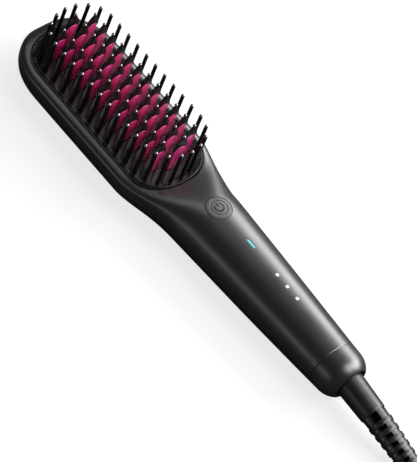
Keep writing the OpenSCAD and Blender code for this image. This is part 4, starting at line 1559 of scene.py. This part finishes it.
@dataclass
class CordSet:
    """The strain relief, the cord with its coil, and the plug."""

    form: BodyForm
    cord_d: float = 5.8
    coil_r: float = 34.8
    turns: float = 7.7
    start_angle: float = 140.0
    turn_gap: float = 0.5
    layer_gap: float = 0.6
    steps_per_turn: int = 48
    ring_points: int = 72
    pin_apart: float = 18.6

    @property
    def relief(self) -> ReliefForm:
        """Return the strain relief's form."""
        return ReliefForm(self.form)

    @property
    def exit(self) -> Point:
        """Return where the cord leaves the strain relief."""
        return self.relief.at(self.relief.length)

    @property
    def low_z(self) -> float:
        """Return the level of the cord's centre where it lies on the floor."""
        return self.cord_d / 2 + 0.05

    @property
    def coil_out(self) -> float:
        """Return the radius of the coil's outermost turn."""
        return self.coil_r + self.turns / 2 * (self.cord_d + self.turn_gap) / 2

    @property
    def lead_route(self) -> list[Point]:
        """Return the way to the coil.

        Returns:
            Points, measured along and across the brush from the strain relief's end.
        """
        z = self.low_z
        return [(0, 0, self.exit[2]), (10, 0, 6.1), (18, 1, 5.4), (25, 3.5, 4.4), (32, 7.6, 3.4),
                (37.6, 12.9, z), (41.5, 17.5, z)]

    def heading(self, turn: float) -> Flat:
        """Return the level direction in which the cord runs after so many turns."""
        a = math.radians(self.start_angle - 360 * turn)
        return (math.sin(a), -math.cos(a))

    @property
    def centre(self) -> Flat:
        """Return the middle of the coil.

        Returns:
            The place at which the outermost turn meets the end of the lead.
        """
        a = math.radians(self.start_angle)
        (hx, hy), (x, y, _) = self.heading(0), self.lead_route[-1]
        return (self.exit[0] + x + self.cord_d * hx - self.coil_out * math.cos(a),
                y + self.cord_d * hy - self.coil_out * math.sin(a))

    def coil_point(self, turn: float) -> Point:
        """Return a point of the coil, which winds inwards below and outwards above.

        Args:
            turn: Number of turns from the coil's start.

        Returns:
            The point.
        """
        half, pitch = self.turns / 2, self.cord_d + self.turn_gap
        r = self.coil_out - pitch * (half - abs(turn - half))
        a = math.radians(self.start_angle - 360 * turn)
        z = self.low_z + (self.cord_d + self.layer_gap) * clamp01((turn - half) * 2 + 0.5)
        return (self.centre[0] + r * math.cos(a), self.centre[1] + r * math.sin(a), z)

    @staticmethod
    def smooth(points: Sequence[Point], steps: int) -> list[Point]:
        """Return a smooth line through points.

        Args:
            points: The points.
            steps: Number of steps from each point to the next.

        Returns:
            The line's points.
        """
        out, end = [], len(points) - 1
        for i in range(end):
            a, b, c, d = (points[k] for k in (max(i - 1, 0), i, i + 1, min(i + 2, end)))
            for j in range(steps):
                t = j / steps
                out.append(tuple(
                    0.5 * (2 * q + t * (r - p) + t * t * (2 * p - 5 * q + 4 * r - s)
                           + t ** 3 * (3 * q - p - 3 * r + s)) for p, q, r, s in zip(a, b, c, d)))
        return out + [tuple(points[-1])]

    def lead(self) -> list[Point]:
        """Return the cord's way from the strain relief to the coil."""
        return [(self.exit[0] + x, y, z) for x, y, z in self.smooth(self.lead_route, 6)]

    def coil(self) -> list[Point]:
        """Return the coil.

        Returns:
            The points of its turns, with a straight stretch at each end.
        """
        count = round(self.turns * self.steps_per_turn)
        body = [self.coil_point(self.turns * k / count) for k in range(count + 1)]
        ends = []
        for turn, way, (x, y, z) in ((0, -1, body[0]), (self.turns, 1, body[-1])):
            hx, hy = self.heading(turn)
            ends.append((x + way * self.cord_d * hx, y + way * self.cord_d * hy, z))
        return [ends[0]] + body + [ends[1]]

    def tail(self) -> list[Point]:
        """Return the cord's way from the coil to the plug.

        Returns:
            Points of the way, the last where the cord enters the plug.
        """
        start = self.coil()[-1]
        route = [(0, 0, start[2]), (-5, 2, 9.2), (-13, 4.4, 8.2), (-22, 5.4, 7.2), (-30, 5.4, 7)]
        return [(start[0] + x, start[1] + y, z) for x, y, z in self.smooth(route, 6)]

    def line(self) -> list[Point]:
        """Return the whole cord's centre line.

        Returns:
            Points from the strain relief to the plug, without double ones.
        """
        points = self.lead()
        for p in self.coil() + self.tail():
            if math.dist(p, points[-1]) > 0.3:
                points.append(p)
        return points

    def build_cord(self) -> tuple[bpy.types.Object, float]:
        """Build the cord as one curve.

        Returns:
            The cord's object and its length in metres.
        """
        points = self.line()
        curve = bpy.data.curves.new("mains_cord", "CURVE")
        curve.dimensions = "3D"
        curve.bevel_depth = self.cord_d / 2 * MM
        curve.bevel_resolution = 6
        curve.use_fill_caps = True
        spline = curve.splines.new("POLY")
        spline.points.add(len(points) - 1)
        for knot, (x, y, z) in zip(spline.points, points):
            knot.co = ((x - HALF_LENGTH) * MM, y * MM, z * MM, 1)
        spline.use_smooth = True
        curve.materials.append(CORD.make())
        cord = bpy.data.objects.new("mains_cord", curve)
        bpy.context.scene.collection.objects.link(cord)
        length = sum(math.dist(a, b) for a, b in zip(points, points[1:])) * MM
        return settle(cord, "swivel", "cord_rubber", "cord_lead", "cord_coil", "cord_tail"), length

    def add_sleeve(self, mould: Mould) -> None:
        """Add the strain relief's smooth sleeve.

        Args:
            mould: The mould that takes it.
        """
        form, back = self.relief, -3.0
        end, r = form.sleeve, form.radius(form.sleeve)
        profile = [(back, 5.3), (back, form.radius(0) - 0.1)]
        profile += [(s, form.radius(s)) for s in (0, 6, 12, 18, 24, 25.8)]
        profile += [(end - 0.7, r), (end - 0.2, r - 0.25), (end, r - 0.7), (end, 3.0), (back, 3.0)]
        mould.skin([form.ring(s, [r] * self.ring_points) for s, r in profile], End.JOINED)

    def add_webs(self, mould: Mould) -> None:
        """Add the four webs that join the relief's ribs, and the floor of the slots between them, rougher and
        painted darker as shade.

        Args:
            mould: The mould that takes them.
        """
        form, n, steps = self.relief, self.ring_points, 72
        stop = form.length
        floor = [form.ring(mix(form.sleeve, stop - 1.5, k / 48), [form.core_r + 0.06] * n)
                 for k in range(49)]
        webs = []
        for k in range(steps + 1):
            s = mix(form.sleeve - 0.5, stop - 1.0, k / steps)
            # A web runs along each of the four sides, and slopes down to the core beside it.
            off = [abs((360 * j / n + 45) % 90 - 45) for j in range(n)]
            top = form.radius(s) - 0.15
            shares = [ease((form.web_half - angle) / form.web_slope) for angle in off]
            webs.append(form.ring(s, [mix(form.core_r, top, share) for share in shares]))
        mould.skin(floor, finish=1)
        mould.skin(webs)

    def add_ribs(self, mould: Mould) -> None:
        """Add the ribs across the relief, the last a little longer.

        Args:
            mould: The mould that takes them.
        """
        form, foot = self.relief, 3.2
        ribs = [(form.sleeve + i * form.rib_pitch, form.rib_t) for i in range(1, form.ribs + 1)]
        ribs.append((form.length - form.rib_t - 0.5, form.rib_t + 0.5))
        for s, t in ribs:
            r0, r1 = form.radius(s), form.radius(s + t)
            profile = [(0.0, foot), (0.0, r0 - 0.35), (0.08, r0 - 0.12), (0.3, r0),
                       (t - 0.3, r1), (t - 0.08, r1 - 0.12), (t, r1 - 0.35), (t, foot)]
            mould.skin([form.ring(s + d, [r] * self.ring_points) for d, r in profile])

    def build_relief(self) -> bpy.types.Object:
        """Build the strain relief: a smooth sleeve, ribs, and the webs between them.

        Returns:
            The strain relief's object.
        """
        mould = Mould()
        self.add_sleeve(mould)
        self.add_webs(mould)
        self.add_ribs(mould)
        boot = mould.cast("slotted_relief", [RELIEF, SLOT_SHADE], 38)
        return settle(boot, "swivel", "relief_rubber", "strain_relief")

    def build_plug(self) -> list[bpy.types.Object]:
        """Build the plug's body and its two pins.

        Returns:
            The body's and the pins' objects.
        """
        px, py, pz = self.tail()[-1]
        # Distance from the cord, half width, half height and power of each section: grip rings first.
        sections = [
            (0, 4.2, 4.2, 2), (3, 4.3, 4.3, 2), (3.2, 4.9, 4.9, 2), (5.0, 5.0, 5.0, 2), (5.2, 4.3, 4.3, 2),
            (7, 4.5, 4.5, 2), (7.2, 5.1, 5.1, 2), (9, 5.2, 5.2, 2), (9.2, 4.6, 4.6, 2), (11, 4.7, 4.7, 2),
            (11.2, 5.3, 5.3, 2), (13, 5.4, 5.4, 2.2), (16, 6.6, 5.6, 2.6), (19, 8.6, 6.3, 3.2),
            (22, 10.8, 6.8, 3.8), (25, 11.9, 6.9, 4.2), (29, 11.3, 6.9, 4.4), (34, 11.5, 6.9, 4.6),
            (42, 12.4, 6.9, 4.8), (48.6, 13.0, 6.9, 5), (49.6, 12.8, 6.7, 5), (50, 12.2, 6.1, 5)]
        turn = [2 * math.pi * k / 180 for k in range(181)]
        rings = []
        for d, w, h, n in sections:
            line = [(px - d, py + w * signed_power(math.cos(a), 2 / n),
                     pz + h * signed_power(math.sin(a), 2 / n)) for a in turn]
            rings.append(spaced(line, 64)[:-1])
        mould = Mould()
        mould.skin(rings)
        body = mould.cast("plug_shell", [CORD], 40)
        settle(body, "swivel", "cord_rubber", "plug_body")
        front = px - sections[-1][0]
        pin = [(0, -1), (2.0, -1), (2.0, 9), (2.0, 17.2), (1.85, 17.9), (1.5, 18.5), (0.9, 18.9), (0.0, 19.0)]
        mould = Mould()
        for side in (-1, 1):
            middle = py + side * self.pin_apart / 2
            mould.lathe(pin, lambda u, v, h, y=middle: (front - h, y + u, pz + v), 32)
        pins = mould.cast("plug_prongs", [NICKEL])
        return [body, settle(pins, "swivel", "pin_nickel", "plug_pins")]

    def build(self) -> None:
        boot = self.build_relief()
        plug = self.build_plug()
        cord, length = self.build_cord()
        x, y, z = self.exit
        LOG.info("cord of %.3f m declared", length)


@dataclass
class InnerWorks:
    """The CAD nodes that keep their own meshes, with their finishes."""

    nodes: dict[str, bpy.types.Object]
    finishes: dict[str, Finish] = field(default_factory=lambda: {
        "heating_plate": FIN_COAT, "heater_strips": CERAMIC, "insulation_pad": MICA,
        "heater_clamp": ALUMINIUM, "clamp_screws": STEEL, "plate_screws": STEEL,
        "thermal_fuse": CERAMIC, "thermistor": SENSOR, "heater_leads": LEAD_RED,
        "circuit_board": BOARD, "board_screws": STEEL, "tact_switch": PART_BLACK,
        "switch_plunger": PLUNGER, "status_leds": LED_BODY, "capacitor": SLEEVE_BLUE,
        "triac": PART_BLACK, "supply_leads": LEAD_RED, "case_screws": STEEL,
        "contact_block": CERAMIC, "contact_blades": BRASS, "swivel_shaft": PART_BLACK,
        "slip_rings": BRASS})

    def build(self) -> None:
        """Dress each inner node."""
        for name, finish in self.finishes.items():
            mesh = self.nodes[name].data
            mesh.materials.clear()
            mesh.materials.append(finish.make())
            LOG.info("%s dressed as %s", name, finish.name)


# Studio


@dataclass(frozen=True)
class Panel:
    """A soft light panel: where it hangs, what it faces, its size in metres and its watts."""

    name: str
    place: Point
    aim: Point
    size: Flat
    power: float


@dataclass
class Studio:
    """The camera, the lamps, the floor and the surroundings."""

    camera_place: Point = (0.5849, -1.0071, 1.4723)
    right: Point = (0.62907, 0.73242, 0.26046)
    up: Point = (-0.71531, 0.41423, 0.56280)
    back: Point = (0.30432, -0.54034, 0.78449)
    lens: float = 255.8
    floor_size: float = 8.0
    floor_drop: float = 0.0002
    panels: tuple[Panel, ...] = (
        Panel("side_panel", (0.12, 0.48, 0.34), (0.15, 0.0, 0.02), (0.88, 0.28), 4.87),
        Panel("key_panel", (0.45, 0.7, 0.75), (-0.07, 0.0, 0.03), (0.6, 0.5), 3.9),
        Panel("fin_panel", (0.56, 0.3, 0.96), (-0.07, 0.0, 0.03), (0.6, 0.6), 5.2),
        Panel("tip_panel", (-0.36, 0.08, 0.58), (-0.1, 0.0, 0.03), (0.26, 0.3), 0.36),
        Panel("front_panel", (-0.2, -0.85, 0.12), (0.0, 0.0, 0.02), (0.9, 0.26), 0.56))

    def place_camera(self) -> None:
        """Put the camera where the photograph was taken from."""
        data = bpy.data.cameras.new("camera")
        data.lens = self.lens
        data.sensor_width = 36
        data.clip_end = 20
        camera = bpy.data.objects.new("camera", data)
        bpy.context.scene.collection.objects.link(camera)
        turn = Matrix((self.right, self.up, self.back)).transposed().to_4x4()
        camera.matrix_world = Matrix.Translation(self.camera_place) @ turn
        bpy.context.scene.camera = camera

    def hang(self, panel: Panel) -> None:
        """Hang a soft light panel.

        Args:
            panel: The panel.
        """
        data = bpy.data.lights.new(panel.name, "AREA")
        data.shape = "RECTANGLE"
        data.size, data.size_y = panel.size
        data.energy = panel.power
        lamp = bpy.data.objects.new(panel.name, data)
        bpy.context.scene.collection.objects.link(lamp)
        facing = (Vector(panel.aim) - Vector(panel.place)).to_track_quat("-Z", "Y")
        lamp.matrix_world = Matrix.Translation(panel.place) @ facing.to_matrix().to_4x4()
        lamp.visible_camera = False

    def lay_floor(self) -> None:
        """Lay a plain pale floor that keeps the shadow."""
        bpy.ops.mesh.primitive_plane_add(size=self.floor_size, location=(0, 0, -self.floor_drop))
        floor = bpy.context.object
        floor.name = "floor"
        material = bpy.data.materials.new("floor_white")
        material.use_nodes = True
        wiring = Wiring(material.node_tree.nodes, material.node_tree.links)
        wiring.nodes.clear()
        seen = wiring.add("LightPath").outputs["Is Camera Ray"]
        matt = wiring.add("BsdfDiffuse", {"Color": wiring.ramp(seen, 0.1, 0.3, 0.0, 1.0)})
        glow = wiring.add("Emission", {"Strength": wiring.maths("MULTIPLY", seen, 0.78)})
        both = wiring.add("AddShader", {0: matt.outputs[0], 1: glow.outputs[0]})
        wiring.add("OutputMaterial", {"Surface": both.outputs[0]})
        floor.data.materials.append(material)

    def surround(self) -> None:
        """Make the surroundings white for the camera and soft grey for the object."""
        world = bpy.data.worlds.new("studio")
        bpy.context.scene.world = world
        world.use_nodes = True
        wiring = Wiring(world.node_tree.nodes, world.node_tree.links)
        wiring.nodes.clear()
        path = wiring.add("LightPath").outputs
        seen = wiring.maths("MAXIMUM", path["Is Camera Ray"], path["Is Transmission Ray"])
        place = wiring.add("TexCoord").outputs["Generated"]
        height = wiring.add("SeparateXYZ", {0: place}).outputs["Z"]
        sky = wiring.add("Background", {"Strength": wiring.ramp(height, 0.18, 0.08, 0.0, 0.4)})
        white = wiring.add("Background")
        blend = wiring.add("MixShader", {0: seen, 1: sky.outputs[0], 2: white.outputs[0]})
        wiring.add("OutputWorld", {"Surface": blend.outputs[0]})

    def build(self) -> None:
        """Set up the whole studio."""
        bpy.context.scene.view_settings.view_transform = "Standard"
        self.place_camera()
        self.surround()
        self.lay_floor()
        for panel in self.panels:
            self.hang(panel)


def main() -> None:
    """Build the dressed brush, piece by piece."""
    logging.basicConfig(level=logging.INFO, format="%(name)s: %(message)s")
    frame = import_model()
    form = BodyForm()
    Studio().build()
    CordSet(form).build()
    Shells(form).build()
    BristleHead(form).build()
    Controls(form).build()
    InnerWorks(frame["nodes"]).build()


if __name__ == "__main__":
    main()
